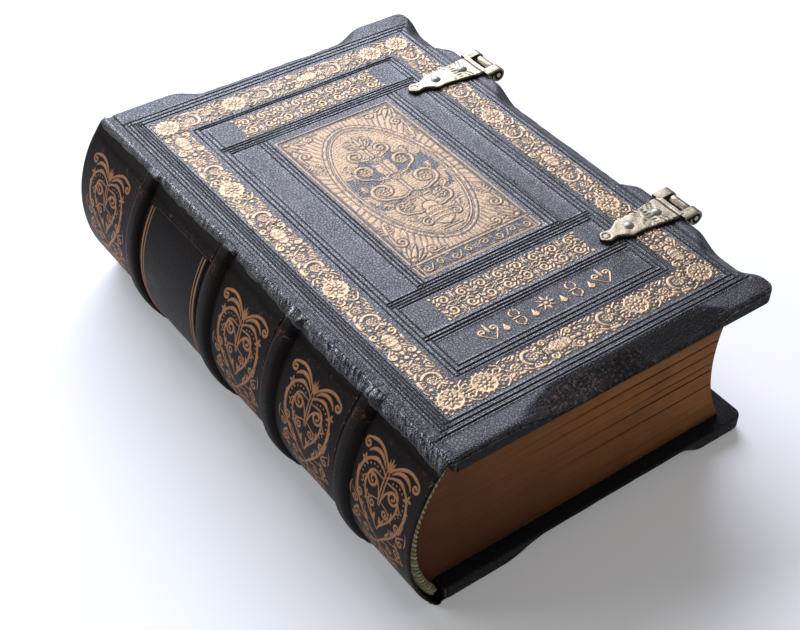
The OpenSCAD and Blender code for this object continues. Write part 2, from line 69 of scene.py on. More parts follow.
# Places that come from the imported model, in millimetres
COVER_LOW, COVER_HIGH = (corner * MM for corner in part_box("front_cover_leather"))
BACK_LOW, BACK_HIGH = (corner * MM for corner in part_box("spine_leather"))
BLOCK_LOW, BLOCK_HIGH = (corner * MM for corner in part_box("text_block"))
BORDER_LOW, BORDER_HIGH = (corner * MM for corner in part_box("gilt_border"))
PANEL_LOW, PANEL_HIGH = (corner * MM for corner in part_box("gilt_panel"))
STRIP_LOW, STRIP_HIGH = (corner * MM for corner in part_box("gilt_strip_head"))
LOWER_STRIP_LOW, LOWER_STRIP_HIGH = (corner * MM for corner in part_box("gilt_strip_tail"))
ROW_LOW, ROW_HIGH = (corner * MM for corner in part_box("gilt_ornament_row"))
LABEL_LOW, LABEL_HIGH = (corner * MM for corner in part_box("spine_label"))
PIN_LOW, PIN_HIGH = (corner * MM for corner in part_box("clasp_pin_head"))
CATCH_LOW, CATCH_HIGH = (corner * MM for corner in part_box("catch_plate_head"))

JOINT_GAP = 0.15
JOINT_X = COVER_LOW.x - JOINT_GAP
FORE_X = COVER_HIGH.x
TOTAL_T = BACK_HIGH.z
MID_Z = TOTAL_T / 2
HALF_H = COVER_HIGH.y
COVER_W = FORE_X - JOINT_X
COVER_T = COVER_HIGH.z - COVER_LOW.z
PIN_X = (PIN_LOW.x + PIN_HIGH.x) / 2
PIN_Z = (PIN_LOW.z + PIN_HIGH.z) / 2
CLASP_Y = (PIN_LOW.y + PIN_HIGH.y) / 2

# Sizes of the rounded back, in millimetres
SPINE_R = 55.0
SHOULDER_R = 4.0
BAND_Y = (-74.5, -29.0, 15.0, 68.5)
FIELD_EDGES = (-HALF_H, *BAND_Y, HALF_H)
LABEL_FIELD = 3
SHOULDER_IN = math.sqrt((SPINE_R - SHOULDER_R) ** 2 - (MID_Z - SHOULDER_R) ** 2)
SHOULDER_ANGLE = math.degrees(math.asin((MID_Z - SHOULDER_R) / (SPINE_R - SHOULDER_R)))
AXIS_X = JOINT_X - 1.0 + SHOULDER_IN
STRIP_HALF = 1.5

# Sizes of the covers and clasps, in millimetres
CORNER_R = 4.0
TURN_IN = 16.0
PLATE_LIFT = 0.3
PLATE_T = 1.2


def length(name, description, default):
    """A size in metres with its name and description."""
    return bpy.props.FloatProperty(name=name, description=description, default=default, unit="LENGTH",
                                   precision=5)


def colour(name, description, default):
    """A linear colour with its name and description."""
    return bpy.props.FloatVectorProperty(name=name, description=description, default=default,
                                         subtype="COLOR", size=3, min=0.0, max=1.0)


class BookSizes(bpy.types.PropertyGroup):
    """Sizes that a user may change without leaving the model's solids."""

    tool_width: length("Tooled line width", "Width of a blind-tooled line", 0.00066)
    tool_depth: length("Tooled line depth", "Depth of a blind-tooled line", 0.00043)
    gilt_rise: length("Gilding height", "How far the gilding stands over the leather", 0.00024)
    bevel_reach: length("Bevel reach", "How far a bevel reaches over the cover", 0.008)
    bevel_drop: length("Bevel drop", "How deep a bevel cuts at its middle", 0.0054)
    edge_round: length("Edge rounding", "Rounding of the covers' edges", 0.0017)
    band_rise: length("Band height", "How far a raised band stands out", 0.0022)
    band_width: length("Band width", "Width of a raised band at its foot", 0.0068)
    leather_thickness: length("Spine leather", "Thickness of the spine leather", 0.0012)
    wrinkle: length("Wrinkles", "Height of the wrinkles along the joints", 0.0005)
    page_gap: length("Gathering gaps", "Depth of the gaps between gatherings", 0.0011)


class BookColours(bpy.types.PropertyGroup):
    """Base colours of the finishes."""

    cover_leather: colour("Cover leather", "Dark leather of the covers", (0.020, 0.0165, 0.0205))
    worn_leather: colour("Worn leather", "Leather rubbed through at the edges", (0.055, 0.024, 0.015))
    spine_leather: colour("Spine leather", "Smoother leather of the spine", (0.0090, 0.0054, 0.0040))
    cover_gold: colour("Cover gold", "Gold leaf on the cover", (0.45, 0.308, 0.176))
    spine_gold: colour("Spine gold", "Rubbed gold leaf on the spine", (0.36, 0.153, 0.050))
    page_edge: colour("Page edges", "Browned edges of the pages", (0.25, 0.088, 0.014))
    page_face: colour("Paper", "Aged paper inside the book", (0.62, 0.50, 0.33))
    endband: colour("Endband", "Pale thread of the endbands", (0.30, 0.275, 0.06))
    brass: colour("Brass", "Dull brass of the clasps", (0.27, 0.225, 0.155))
    steel: colour("Rivet metal", "Bright rubbed metal of rivets and pins", (0.34, 0.33, 0.30))
    wood: colour("Wood", "Oak of the boards", (0.22, 0.12, 0.055))
    floor: colour("Floor", "Pale floor under the book", (0.93, 0.93, 0.93))


def sizes():
    """The size settings of this scene."""
    return bpy.context.scene.old_book_sizes


def colours():
    """The colour settings of this scene."""
    return bpy.context.scene.old_book_colours


def smooth(low, high, value):
    """A smooth step from 0 at low to 1 at high."""
    t = np.clip((np.asarray(value, float) - low) / (high - low), 0.0, 1.0)
    return t * t * (3.0 - 2.0 * t)


def smooth_noise(x, y, cell_x, cell_y, seed):
    """Seeded smooth noise between -1 and 1 at places, with its own grain along each direction."""
    u = np.asarray(x, float) / cell_x
    v = np.asarray(y, float) / cell_y
    iu = np.floor(u).astype(np.int64)
    iv = np.floor(v).astype(np.int64)
    fu = u - iu
    fv = v - iv
    fu = fu * fu * (3 - 2 * fu)
    fv = fv * fv * (3 - 2 * fv)

    def corner(a, b):
        mixed = (a * 374761393 + b * 668265263 + seed * 974711) & 0x7FFFFFFF
        mixed = ((mixed ^ (mixed >> 13)) * 1274126177) & 0x7FFFFFFF
        return (mixed ^ (mixed >> 16)) % 65536 / 32767.5 - 1.0

    low = corner(iu, iv) * (1 - fu) + corner(iu + 1, iv) * fu
    high = corner(iu, iv + 1) * (1 - fu) + corner(iu + 1, iv + 1) * fu
    return low * (1 - fv) + high * fv


def line_noise(along, cell, seed):
    """Seeded smooth noise between -1 and 1 along one direction."""
    return smooth_noise(along, 0 * along, cell, 1.0, seed)


def quarter_round(edge, r):
    """Share of a rounding's depth at distances from an edge: 1 at the edge, and 0 from its radius on."""
    t = np.clip(1 - edge / r, 0, 1)
    return 1 - np.sqrt(np.clip(1 - t ** 2, 0, 1))


def run_length(x, z):
    """Distance along a section from its first place to each of its places."""
    return np.concatenate([[0], np.cumsum(np.hypot(np.diff(x), np.diff(z)))])


def grid_faces(rows, columns, loop_rows=False, loop_columns=False, flip=False):
    """Quads of a grid of vertices that is stored row by row."""
    last_row = rows if loop_rows else rows - 1
    last_column = columns if loop_columns else columns - 1
    r, c = np.meshgrid(np.arange(last_row), np.arange(last_column), indexing="ij")
    r1 = (r + 1) % rows
    c1 = (c + 1) % columns
    corners = (r * columns + c, r * columns + c1, r1 * columns + c1, r1 * columns + c)
    quads = np.stack(corners, -1).reshape(-1, 4)
    return quads[:, ::-1] if flip else quads


def border(rows, columns, closed=True):
    """Row and column numbers round a grid's border. An open one leaves out the first column's inner places."""
    ring = [(0, c) for c in range(columns)] + [(r, columns - 1) for r in range(1, rows)]
    ring += [(rows - 1, c) for c in range(columns - 2, -1, -1)]
    if closed:
        ring += [(r, 0) for r in range(rows - 2, 0, -1)]
    return ring


class Shell:
    """Collects vertices in millimetres and faces for one piece, with optional values at the vertices."""

    def __init__(self, *values):
        self.points = []
        self.faces = []
        self.count = 0
        self.names = values
        self.values = {name: [] for name in values}

    def add(self, points, faces, **values):
        """Adds vertices and an array of faces, which count from 0, and returns the first one's number."""
        points = np.asarray(points, float).reshape(-1, 3)
        first = self.count
        self.points.append(points)
        self.faces.extend((faces + first).tolist())
        self.count += len(points)
        for name in self.names:
            value = np.asarray(values.get(name, 0.0), float).reshape(-1)
            self.values[name].append(np.broadcast_to(value, (len(points),)))
        return first

    def grid(self, points, flip=False, loop_rows=False, loop_columns=False, **values):
        """Adds a grid of vertices, an array of rows by columns by 3."""
        rows, columns = points.shape[:2]
        return self.add(points, grid_faces(rows, columns, loop_rows, loop_columns, flip), **values)

    def cap(self, first, count, turned=False):
        """Closes a ring of vertices with one face."""
        ring = list(range(first, first + count))
        self.faces.append(ring[::-1] if turned else ring)

    def close_sheet(self, shape):
        """Joins the borders of two like grids, the first that were added, into a closed sheet."""
        rows, columns = shape
        flat = [r * columns + c for r, c in border(rows, columns)]
        under = rows * columns
        for a, b in zip(flat, flat[1:] + flat[:1]):
            self.faces.append([a, b, b + under, a + under])

    def build(self, name, finish, angle=None, weld=0.0):
        """Makes the Blender object, in metres, with its material."""
        points = np.concatenate(self.points) / MM
        mesh = bpy.data.meshes.new(name)
        mesh.from_pydata(points.tolist(), [], self.faces)
        for value_name in self.names:
            layer = mesh.attributes.new(value_name, "FLOAT", "POINT")
            layer.data.foreach_set("value", np.concatenate(self.values[value_name]).astype(np.float32))
        mesh.validate()
        piece = bpy.data.objects.new(name, mesh)
        bpy.context.scene.collection.objects.link(piece)
        if weld:
            work = bmesh.new()
            work.from_mesh(mesh)
            bmesh.ops.remove_doubles(work, verts=work.verts, dist=weld / MM)
            work.to_mesh(mesh)
            work.free()
        mesh.polygons.foreach_set("use_smooth", [True] * len(mesh.polygons))
        if angle is not None:
            mesh.set_sharp_from_angle(angle=math.radians(angle))
        mesh.materials.append(finish)
        mesh.update()
        return piece


class Value:
    """A node socket on which Python's own signs build shader maths."""

    def __init__(self, finish, socket):
        self.finish = finish
        self.socket = socket

    def _join(self, operation, *inputs):
        return self.finish.node("ShaderNodeMath", {"operation": operation}, *inputs)

    def __add__(self, other):
        return self._join("ADD", self, other)

    def __sub__(self, other):
        return self._join("SUBTRACT", self, other)

    def __rsub__(self, other):
        return self._join("SUBTRACT", other, self)

    def __mul__(self, other):
        return self._join("MULTIPLY", self, other)

    __radd__ = __add__
    __rmul__ = __mul__

    def clamp(self):
        """The value kept between 0 and 1."""
        return self.finish.node("ShaderNodeClamp", {}, self)

    def above(self, low, high):
        """A smooth mask that is 0 at low and 1 at high."""
        return self.finish.node("ShaderNodeMapRange", {"interpolation_type": "SMOOTHSTEP"}, self, low, high)


class Finish:
    """One procedural material in the making."""

    def __init__(self, name):
        self.material = bpy.data.materials.new(name)
        self.material.use_nodes = True
        self.tree = self.material.node_tree
        self.tree.nodes.clear()
        self.output = self.tree.nodes.new("ShaderNodeOutputMaterial")
        self.shader = self.tree.nodes.new("ShaderNodeBsdfPrincipled")
        self.tree.links.new(self.shader.outputs[0], self.output.inputs[0])
        place = self.node("ShaderNodeTexCoord", {}, out="Object")
        self.place = self.node("ShaderNodeVectorMath", {"operation": "SCALE"}, place, Scale=MM)

    def feed(self, socket, value):
        """Links a value to a socket, or sets the socket to a constant."""
        if isinstance(value, Value):
            self.tree.links.new(value.socket, socket)
        elif value is not None:
            if socket.type == "RGBA" and len(value) == 3:
                value = (*value, 1.0)
            socket.default_value = value

    def node(self, kind, settings, *inputs, out=0, **named):
        """Adds a node of this kind: its settings first, then the values or links of its sockets."""
        made = self.tree.nodes.new(kind)
        for key, value in settings.items():
            setattr(made, key, value)
        for number, value in enumerate(inputs):
            self.feed(made.inputs[number], value)
        for key, value in named.items():
            self.feed(made.inputs[key.replace("_", " ")], value)
        return Value(self, made.outputs[out])

    def stretched(self, x, y, z):
        """The place in millimetres, multiplied along each axis."""
        return self.node("ShaderNodeVectorMath", {"operation": "MULTIPLY"}, self.place, (x, y, z))

    def noise(self, scale, detail, roughness, vector=None, distortion=0.0):
        """Noise with so many grains to a millimetre, from about 0.2 to 0.8."""
        return self.node("ShaderNodeTexNoise", {}, Vector=vector or self.place, Scale=scale, Detail=detail,
                         Roughness=roughness, Distortion=distortion)

    def cells(self, scale):
        """Distance from the borders between cells."""
        return self.node("ShaderNodeTexVoronoi", {"feature": "DISTANCE_TO_EDGE"}, Vector=self.place,
                         Scale=scale, Randomness=1.0, out="Distance")

    def value(self, name):
        """A value kept at the mesh's vertices."""
        return self.node("ShaderNodeAttribute", {"attribute_name": name}, out="Fac")

    def axis(self, name):
        """One coordinate of the place, in millimetres."""
        return self.node("ShaderNodeSeparateXYZ", {}, self.place, out=name)

    def mix(self, amount, first, second):
        """Two colours mixed by an amount from 0 to 1."""
        other_kinds = [None] * 5
        return self.node("ShaderNodeMix", {"data_type": "RGBA"}, amount, *other_kinds, first, second, out=2)

    def bump(self, height, distance):
        """A normal from a height that is 1 where the surface stands out by the distance in millimetres."""
        return self.node("ShaderNodeBump", {}, Height=height, Distance=distance / MM, Strength=1.0)

    def set(self, **sockets):
        """Sets or links the main shader's sockets."""
        for key, value in sockets.items():
            self.feed(self.shader.inputs[key.replace("_", " ")], value)
        return self.material


def shade(rgb, factor):
    """A colour made lighter or darker."""
    return tuple(min(1.0, c * factor) for c in rgb)


def tint(rgb, factors):
    """A colour with each of its parts multiplied by a factor of its own."""
    return tuple(c * factor for c, factor in zip(rgb, factors))


def leather_finish(name, base, worn, grain, roughness, mottle, shine):
    """Old calf or pigskin: fine pebbled grain, creases, rubbed edges and uneven gloss, with painted glints on rubbed
    leather and painted shade in its hollows.
    """
    f = Finish(name)
    wear = f.value("wear")
    hollow = f.value("hollow")
    pebbles = f.cells(0.85)
    fine = f.noise(1.15, 3.0, 0.6)
    broad = f.noise(0.045, 3.0, 0.6)
    patch = f.noise(0.35, 3.0, 0.65)
    specks = f.noise(1.7, 4.0, 0.7)
    flecks = f.noise(0.8, 2.0, 0.5)
    rubbed = (wear * 1.4 + (patch - 0.5) * 2.2 * wear.above(0.02, 0.3) - 0.55).clamp()
    tone = f.mix(broad.above(0.35, 0.68), shade(base, 1 - mottle), shade(base, 1 + mottle))
    tone = f.mix(specks.above(0.52, 0.75) * 0.35, tone, shade(base, 2.1))
    tone = f.mix(rubbed * 0.9, tone, worn)
    # Painted highlight: bright flecks of worn colour are painted into rubbed leather as glints, and the rubbed
    # leather between them is made almost black; the same flecks also raise the coat.
    glints = (flecks * 0.65 + specks * 0.35).above(0.53, 0.58)
    tone = f.mix(rubbed * (1 - glints) * 0.9, tone, shade(base, 0.2))
    tone = f.mix(rubbed * glints * 0.85, tone, shade(worn, 5.5))
    # Painted shade: the 'hollow' amount darkens the leather's colour in grooves, creases, valleys, bevels and edges
    # that lie in shade.
    tone = f.mix(hollow * 0.8, tone, shade(base, 0.25))
    creases = pebbles.above(0.0, 0.16)
    height = (creases * 0.55 + fine * 0.7 + specks * 0.5 * wear) * (1 + wear * 2.4) + patch * 0.9
    gloss = (fine - 0.5) * 0.25 + (broad - 0.5) * 0.22 + hollow * 0.4 + roughness + rubbed * 0.05
    tops = (1 - hollow) * (1 - rubbed * 0.9) * (creases * 0.5 + specks * 0.9 + broad * 0.5 - 0.4)
    tops = tops + rubbed * glints * 0.8
    return f.set(Base_Color=tone, Roughness=gloss.clamp(), Normal=f.bump(height, grain),
                 Specular_IOR_Level=shine * 0.45, Coat_Weight=(tops * shine * 0.72).clamp(),
                 Coat_Roughness=roughness - 0.06)


def gold_finish(name, gold, leather, wear_level, roughness, dirt=0.25):
    """Gold leaf over leather, rubbed away in specks and along scratches, with painted shade between its tops and
    along the low edges of its strokes.
    """
    f = Finish(name)
    top = f.value("top")
    specks = f.noise(1.6, 4.0, 0.65)
    broad = f.noise(0.12, 3.0, 0.6)
    lines = f.noise(0.9, 2.0, 0.5, f.stretched(0.35, 1.6, 1.0), 1.5)
    # Where the gold shows: it is rubbed away in specks and patches, and on the low edges of each stroke the
    # leather's colour shows as a painted shade outline.
    gold_past_wear_and_shade = (top * 1.2 + (broad - 0.5) * 0.8 + (specks - 0.5) * 1.5 - wear_level).above(0.05, 0.35)
    tone = f.mix(broad.above(0.3, 0.7), shade(gold, 0.86), shade(gold, 1.05))
    tone = f.mix((1 - lines.above(0.38, 0.5)) * 0.35, tone, shade(gold, 0.55))
    tone = f.mix(gold_past_wear_and_shade, leather, tone)
    # Painted shade: the low parts of the relief, between the tops of its strokes, are darkened.
    tone = f.mix((1 - top.above(0.1, 0.55)) * 0.6, tone, tint(gold, (0.26, 0.27, 0.3)))
    soiled = specks.above(0.42, 0.62) * broad.above(0.3, 0.6)
    tone = f.mix(soiled * dirt, tone, tint(gold, (0.3, 0.3, 0.34)))
    height = specks * 0.6 + lines * 0.5
    return f.set(Base_Color=tone, Metallic=gold_past_wear_and_shade * 0.7, Roughness=(roughness + (specks - 0.5) * 0.3).clamp(),
                 Normal=f.bump(height, 0.1))


def page_finish(name, edge, face):
    """Edges of old browned pages: fine lines of the leaves, stains, painted shade in the gaps and painted shade
    towards the spine and the bottom.
    """
    f = Finish(name)
    gap = f.value("gap")
    inside = f.value("inside")
    leaves = f.noise(1.0, 3.0, 0.7, f.stretched(0.035, 0.035, 4.2))
    threads = f.noise(1.0, 2.0, 0.6, f.stretched(0.012, 0.012, 1.3))
    stains = f.noise(0.05, 4.0, 0.65)
    dirt = f.noise(0.8, 3.0, 0.6)
    tone = f.mix(leaves.above(0.3, 0.72), shade(edge, 0.62), shade(edge, 1.45))
    tone = f.mix(threads.above(0.52, 0.7) * 0.45, tone, shade(edge, 0.5))
    tone = f.mix(stains.above(0.45, 0.7) * 0.5, tone, shade(edge, 0.55))
    # Painted shade: the page edges grow darker towards the spine and the bottom, in the corner against the back
    # cover.
    low = (f.axis("X") * -0.009 - f.axis("Z") * 0.012 + 0.75).clamp()
    tone = f.mix(low * 0.9, tone, tint(edge, (0.28, 0.17, 0.14)))
    # Painted shade: the gaps between the gatherings are made almost black.
    tone = f.mix(gap * 0.95, tone, shade(edge, 0.1))
    paper = f.mix(stains.above(0.4, 0.7) * 0.5, face, shade(face, 0.7))
    paper = f.mix(dirt.above(0.62, 0.75) * 0.3, paper, shade(face, 0.5))
    tone = f.mix(inside, tone, paper)
    return f.set(Base_Color=tone, Roughness=0.8, Normal=f.bump(leaves + threads * 0.5, 0.12),
                 Specular_IOR_Level=0.3)


def paper_finish(name, face):
    """Laid end paper with its wire lines, foxing and a broad unevenness of tone."""
    f = Finish(name)
    laid = f.noise(1.0, 1.0, 0.5, f.stretched(0.02, 1.1, 0.02))
    foxing = f.noise(0.16, 5.0, 0.7)
    broad = f.noise(0.03, 3.0, 0.6)
    tone = f.mix(broad.above(0.3, 0.7), face, shade(face, 0.8))
    tone = f.mix(foxing.above(0.58, 0.7) * 0.5, tone, (0.34, 0.2, 0.08))
    return f.set(Base_Color=tone, Roughness=0.85, Normal=f.bump(laid + foxing, 0.08), Specular_IOR_Level=0.3)


def wood_finish(name, base):
    """Old oak with its grain along the height of the book."""
    f = Finish(name)
    grain = f.noise(1.0, 4.0, 0.65, f.stretched(1.3, 0.03, 1.3), 0.6)
    pores = f.noise(1.0, 3.0, 0.6, f.stretched(4.0, 0.12, 4.0))
    tone = f.mix(grain.above(0.3, 0.7), shade(base, 0.6), shade(base, 1.4))
    tone = f.mix(pores.above(0.55, 0.7) * 0.6, tone, shade(base, 0.35))
    return f.set(Base_Color=tone, Roughness=0.72, Normal=f.bump(grain + pores * -0.6, 0.2))


def metal_finish(name, base, tarnish, roughness, rub):
    """Old cast metal: bright where it is rubbed, dark in the hollows, with pits and fine scratches."""
    f = Finish(name)
    top = f.value("top")
    cloud = f.noise(0.28, 4.0, 0.65)
    pits = f.noise(2.2, 4.0, 0.7)
    scratches = f.noise(1.0, 3.0, 0.6, f.stretched(0.5, 3.5, 1.0), 0.8)
    bright = (top * rub + (cloud - 0.5) * 1.3 + (pits - 0.5) * 0.25).above(0.1, 0.85)
    tone = f.mix(bright, tarnish, base)
    tone = f.mix(pits.above(0.66, 0.76) * 0.4, tone, shade(tarnish, 0.4))
    gloss = (1 - bright) * 0.28 + roughness + (scratches - 0.5) * 0.2
    return f.set(Base_Color=tone, Metallic=bright * 0.35 + 0.65, Roughness=gloss.clamp(),
                 Normal=f.bump(pits * 0.2 + cloud + scratches * 0.2, 0.1))


def thread_finish(name, base, second):
    """Twisted thread with two tones and fine fibres, and a core painted dark as shade between the strands."""
    f = Finish(name)
    strand = f.value("strand")
    dark = f.value("dark")
    fibres = f.noise(3.2, 3.0, 0.7)
    dirt = f.noise(0.5, 3.0, 0.6)
    tone = f.mix(strand, base, second)
    tone = f.mix(fibres.above(0.45, 0.7) * 0.6, tone, shade(base, 0.4))
    tone = f.mix(dirt.above(0.5, 0.75) * 0.5, tone, shade(second, 0.5))
    # Painted shade: where 'dark' is 1, the thread's colour is made almost black, for the core seen between the
    # strands.
    tone = f.mix(dark * 0.9, tone, shade(base, 0.15))
    return f.set(Base_Color=tone, Roughness=0.62, Normal=f.bump(fibres, 0.18), Sheen_Weight=0.3)


FINISHES = {}


def finish(name):
    """The named material, made once."""
    if name in FINISHES:
        return FINISHES[name]
    c = colours()
    # The shoulders and joints use the cover leather at half its brightness: painted shade for the folds, against
    # which their highlights stand out.
    fold = shade(c.cover_leather, 0.5)
    label = shade(c.spine_leather, 0.7)
    under_gold = shade(c.cover_leather, 1.6)
    makers = {
        # maker, its colours, and then its roughness and other settings
        "cover_leather": (leather_finish, c.cover_leather, c.worn_leather, 0.32, 0.4, 0.25, 0.8),
        "spine_leather": (leather_finish, c.spine_leather, c.worn_leather, 0.07, 0.46, 0.3, 0.12),
        "fold_leather": (leather_finish, fold, c.worn_leather, 0.26, 0.2, 0.35, 1.6),
        "label_leather": (leather_finish, label, c.worn_leather, 0.05, 0.4, 0.3, 0.1),
        "cover_gold": (gold_finish, c.cover_gold, under_gold, 0.02, 0.42),
        "panel_gold": (gold_finish, shade(c.cover_gold, 0.85), under_gold, 0.02, 0.46, 0.7),
        "spine_gold": (gold_finish, c.spine_gold, c.spine_leather, 0.3, 0.5),
        "pages": (page_finish, c.page_edge, c.page_face),
        "end_paper": (paper_finish, c.page_face),
        "wood": (wood_finish, c.wood),
        "old_brass": (metal_finish, c.brass, (0.045, 0.038, 0.024), 0.35, 0.9),
        "worn_steel": (metal_finish, c.steel, (0.34, 0.32, 0.27), 0.16, 1.0),
        "cord": (thread_finish, (0.5, 0.42, 0.26), (0.4, 0.32, 0.18)),
        "endband": (thread_finish, c.endband, (0.44, 0.42, 0.27)),
    }
    maker, *settings = makers[name]
    FINISHES[name] = maker(name, *settings)
    return FINISHES[name]


def dress(node, name):
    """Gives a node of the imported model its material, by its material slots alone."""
    slots = NODES[node].material_slots
    if not slots:
        raise RuntimeError(node + " has no material slot")
    for slot in slots:
        slot.material = finish(name)


def place_piece(piece, body, slot, *replaced):
    """Puts a finished piece on its body and hides the nodes that it stands for; its slot is not used."""
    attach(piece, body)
    if replaced:
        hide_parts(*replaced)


# Lines of the tooling, each as its middle, and where it starts and ends, in millimetres from the joint

UPRIGHT_LINES = (
    # place from the joint, lowest Y, highest Y
    (1.2, -112, 112), (2.9, -104, 104), (4.5, -104.5, 104.0),
    (5.7, -101.5, 101.5), (6.9, -101, 101), (8.1, -100, 100),
    (22.6, -83.5, 83.5), (24.6, -84, 84), (26.6, -81, 81),
    (39.0, -43.5, 62.5), (40.8, -43.5, 63.0), (42.4, -42.5, 62.0),
    (100.8, -42.5, 62.0), (102.8, -43.5, 63.0), (104.8, -43.5, 62.5),
    (115.6, -81, 81), (117.6, -84, 84), (119.6, -83.5, 83.5),
    (134.5, -100, 100), (136.4, -101.5, 101.5), (138.8, -104.0, 104.5),
)
LEVEL_LINES = (
    # height, start and end from the joint
    (-102.9, 0.5, 141.0), (-100.9, 3.0, 138.6), (-98.9, 6.0, 136.4),
    (102.9, 0.5, 141.0), (100.9, 3.0, 138.6), (98.9, 6.0, 136.4),
    (-84.0, 22.6, 119.6), (-82.1, 24.6, 117.6), (-80.2, 26.6, 115.6),
    (84.2, 22.6, 119.6), (82.9, 24.6, 117.6),
    (-63.2, 24.6, 117.6), (-64.8, 24.6, 117.6), (-66.2, 26.6, 115.6),
    (-40.9, 39.0, 104.8), (-42.3, 24.6, 117.6), (-43.7, 24.6, 117.6), (-45.1, 24.6, 117.6),
    (-46.5, 26.6, 115.6),
    (66.8, 24.6, 117.6), (65.4, 24.6, 117.6), (64.0, 26.6, 115.6), (62.6, 26.6, 115.6),
)
BACK_UPRIGHT_LINES = (
    (2.9, -104, 104), (4.9, -104.5, 104.0), (22.6, -83.5, 83.5), (24.6, -84, 84),
    (117.6, -84, 84), (119.6, -83.5, 83.5), (136.4, -101.5, 101.5), (138.8, -104.0, 104.5),
)
BACK_LEVEL_LINES = (
    (-102.9, 0.5, 141.0), (-100.9, 3.0, 138.6), (102.9, 0.5, 141.0), (100.9, 3.0, 138.6),
    (-84.0, 22.6, 119.6), (-82.1, 24.6, 117.6), (84.2, 22.6, 119.6), (82.1, 24.6, 117.6),
)


# Grid places beside each line, grid places near a cover's edges, and the least step between two places
LINE_STATIONS = (-0.75, -0.48, -0.22, 0.0, 0.22, 0.48, 0.75)
NEAR_EDGE = (2.6, 3.6, 4.8, 6.2, 7.6)
LEAST_STEP = 0.12


def spread_lines(low, high, step, details):
    """Grid places from low to high: an even spread, with extra ones round each tooled line."""
    count = max(2, int(round((high - low) / step)))
    places = [low, high, *np.linspace(low, high, count + 1)]
    marks = [at + offset for at in details for offset in LINE_STATIONS]
    marks = [m for m in marks if low < m < high]
    keep = [p for p in places if all(abs(p - m) > 0.35 for m in marks) or p in (low, high)]
    merged = sorted(keep + marks)
    result = [merged[0]]
    for place in merged[1:]:
        if place - result[-1] > LEAST_STEP:
            result.append(place)
    result[-1] = high
    return np.array(result)


def edge_stations(r):
    """Distances from an edge at which its rounding is drawn."""
    return [r * (1 - math.cos(math.radians(a))) for a in (0, 18, 36, 54, 72, 90)]


def groove(distance, width):
    """Cross-section of a tooled line: 1 at its bottom, with a low ridge on each side."""
    t = np.abs(distance) / (width / 2)
    cut = np.clip(1 - t ** 2, 0, 1) ** 0.8
    ridge = np.exp(-((t - 1.45) / 0.45) ** 2)
    return cut - 0.42 * ridge


def tooling_depth(x, y, uprights, levels, width):
    """Depth of the tooled lines at places in the cover's plane, as a share of the full depth."""
    depth = np.zeros_like(x)
    for lines, across, along, seed in ((uprights, x, y, 31), (levels, y, x, 131)):
        for number, (at, low, high) in enumerate(lines):
            wander = 0.12 * line_noise(along, 40.0, seed + number)
            reach = smooth(low - 0.6, low + 0.6, along) * (1 - smooth(high - 0.6, high + 0.6, along))
            strength = 0.85 + 0.25 * line_noise(along, 22.0, seed + 30 + number)
            cut = groove(across - at - wander, width) * reach * strength
            depth = np.where(np.abs(cut) > np.abs(depth), cut, depth)
    return depth


def bevel_share(along, start, stop, run_in, run_out):
    """How far a stopped bevel is cut at a place along the edge, from 0 to 1."""
    return smooth(start, start + run_in, along) * (1 - smooth(stop - run_out, stop, along))


def bevel_cuts(x, y):
    """Depth of the edge bevels at places on a cover, in millimetres, and how much each place is cut."""
    s = sizes()
    reach = s.bevel_reach * MM
    drop = s.bevel_drop * MM
    end_y = HALF_H - np.abs(y)
    end_share = np.where(y < 0, bevel_share(x, 27, 124, 20, 12), bevel_share(x, 27, 122, 16, 13))
    side = COVER_W - x
    side_share = np.zeros_like(y)
    for start, stop in ((-107, -73), (-44, 44), (73, 107)):
        side_share = np.maximum(side_share, bevel_share(y, start, stop, 13, 13))
    total = np.zeros_like(x)
    cut = np.zeros_like(x)
    for distance, share in ((end_y, end_share), (side, side_share)):
        local = np.maximum(reach * (0.25 + 0.75 * share), 0.01)
        slope = np.clip(1 - distance / local, 0, 1)
        shape = slope ** 0.85
        total = np.maximum(total, drop * share * shape)
        cut = np.maximum(cut, share * np.clip(slope * 4, 0, 1))
    return total, cut


def rounded_plan(x, y):
    """Moves places near the fore-edge corners on to rounded corners."""
    a = (x - (COVER_W - CORNER_R)) / CORNER_R
    b = (np.abs(y) - (HALF_H - CORNER_R)) / CORNER_R
    inside = (a > 0) & (b > 0)
    m = np.maximum(a, b)
    angle = math.pi / 4 * np.minimum(a, b) / np.where(m > 0, m, 1)
    across = np.where(a >= b, np.cos(angle), np.sin(angle))
    along = np.where(a >= b, np.sin(angle), np.cos(angle))
    x = np.where(inside, COVER_W - CORNER_R + CORNER_R * m * across, x)
    y = np.where(inside, np.sign(y) * (HALF_H - CORNER_R + CORNER_R * m * along), y)
    return x, y


def row_places():
    """Heights along the book at which all its leather is cut into rows."""
    half = sizes().band_width * MM / 2
    insets = (*edge_stations(sizes().edge_round * MM), *NEAR_EDGE)
    ends = [side * (HALF_H - d) for side in (-1, 1) for d in insets]
    bands = [b + o for b in BAND_Y for o in (-4.2, -3.4, -2.8, -2.1, -1.2, 0, 1.2, 2.1, 2.8, 3.4, 4.2)]
    edges = [b + half + o for b in BAND_Y for o in (1.5, 1.7, 1.9, 2.1, 2.3)]
    plain = spread_lines(-HALF_H, HALF_H, 2.6, [line[0] for line in LEVEL_LINES])
    merged = sorted({round(p, 4) for p in (*plain, *ends, *edges)})
    extra = [b for b in bands if min(abs(b - m) for m in merged) > 0.45]
    merged = sorted(merged + extra)
    kept = [merged[0]]
    for place in merged[1:]:
        close = place - kept[-1] < LEAST_STEP
        if close and any(abs(place - e) < 1e-3 for e in ends):
            kept[-1] = place
        elif not close:
            kept.append(place)
    kept[0] = -HALF_H
    kept[-1] = HALF_H
    return np.array(kept)


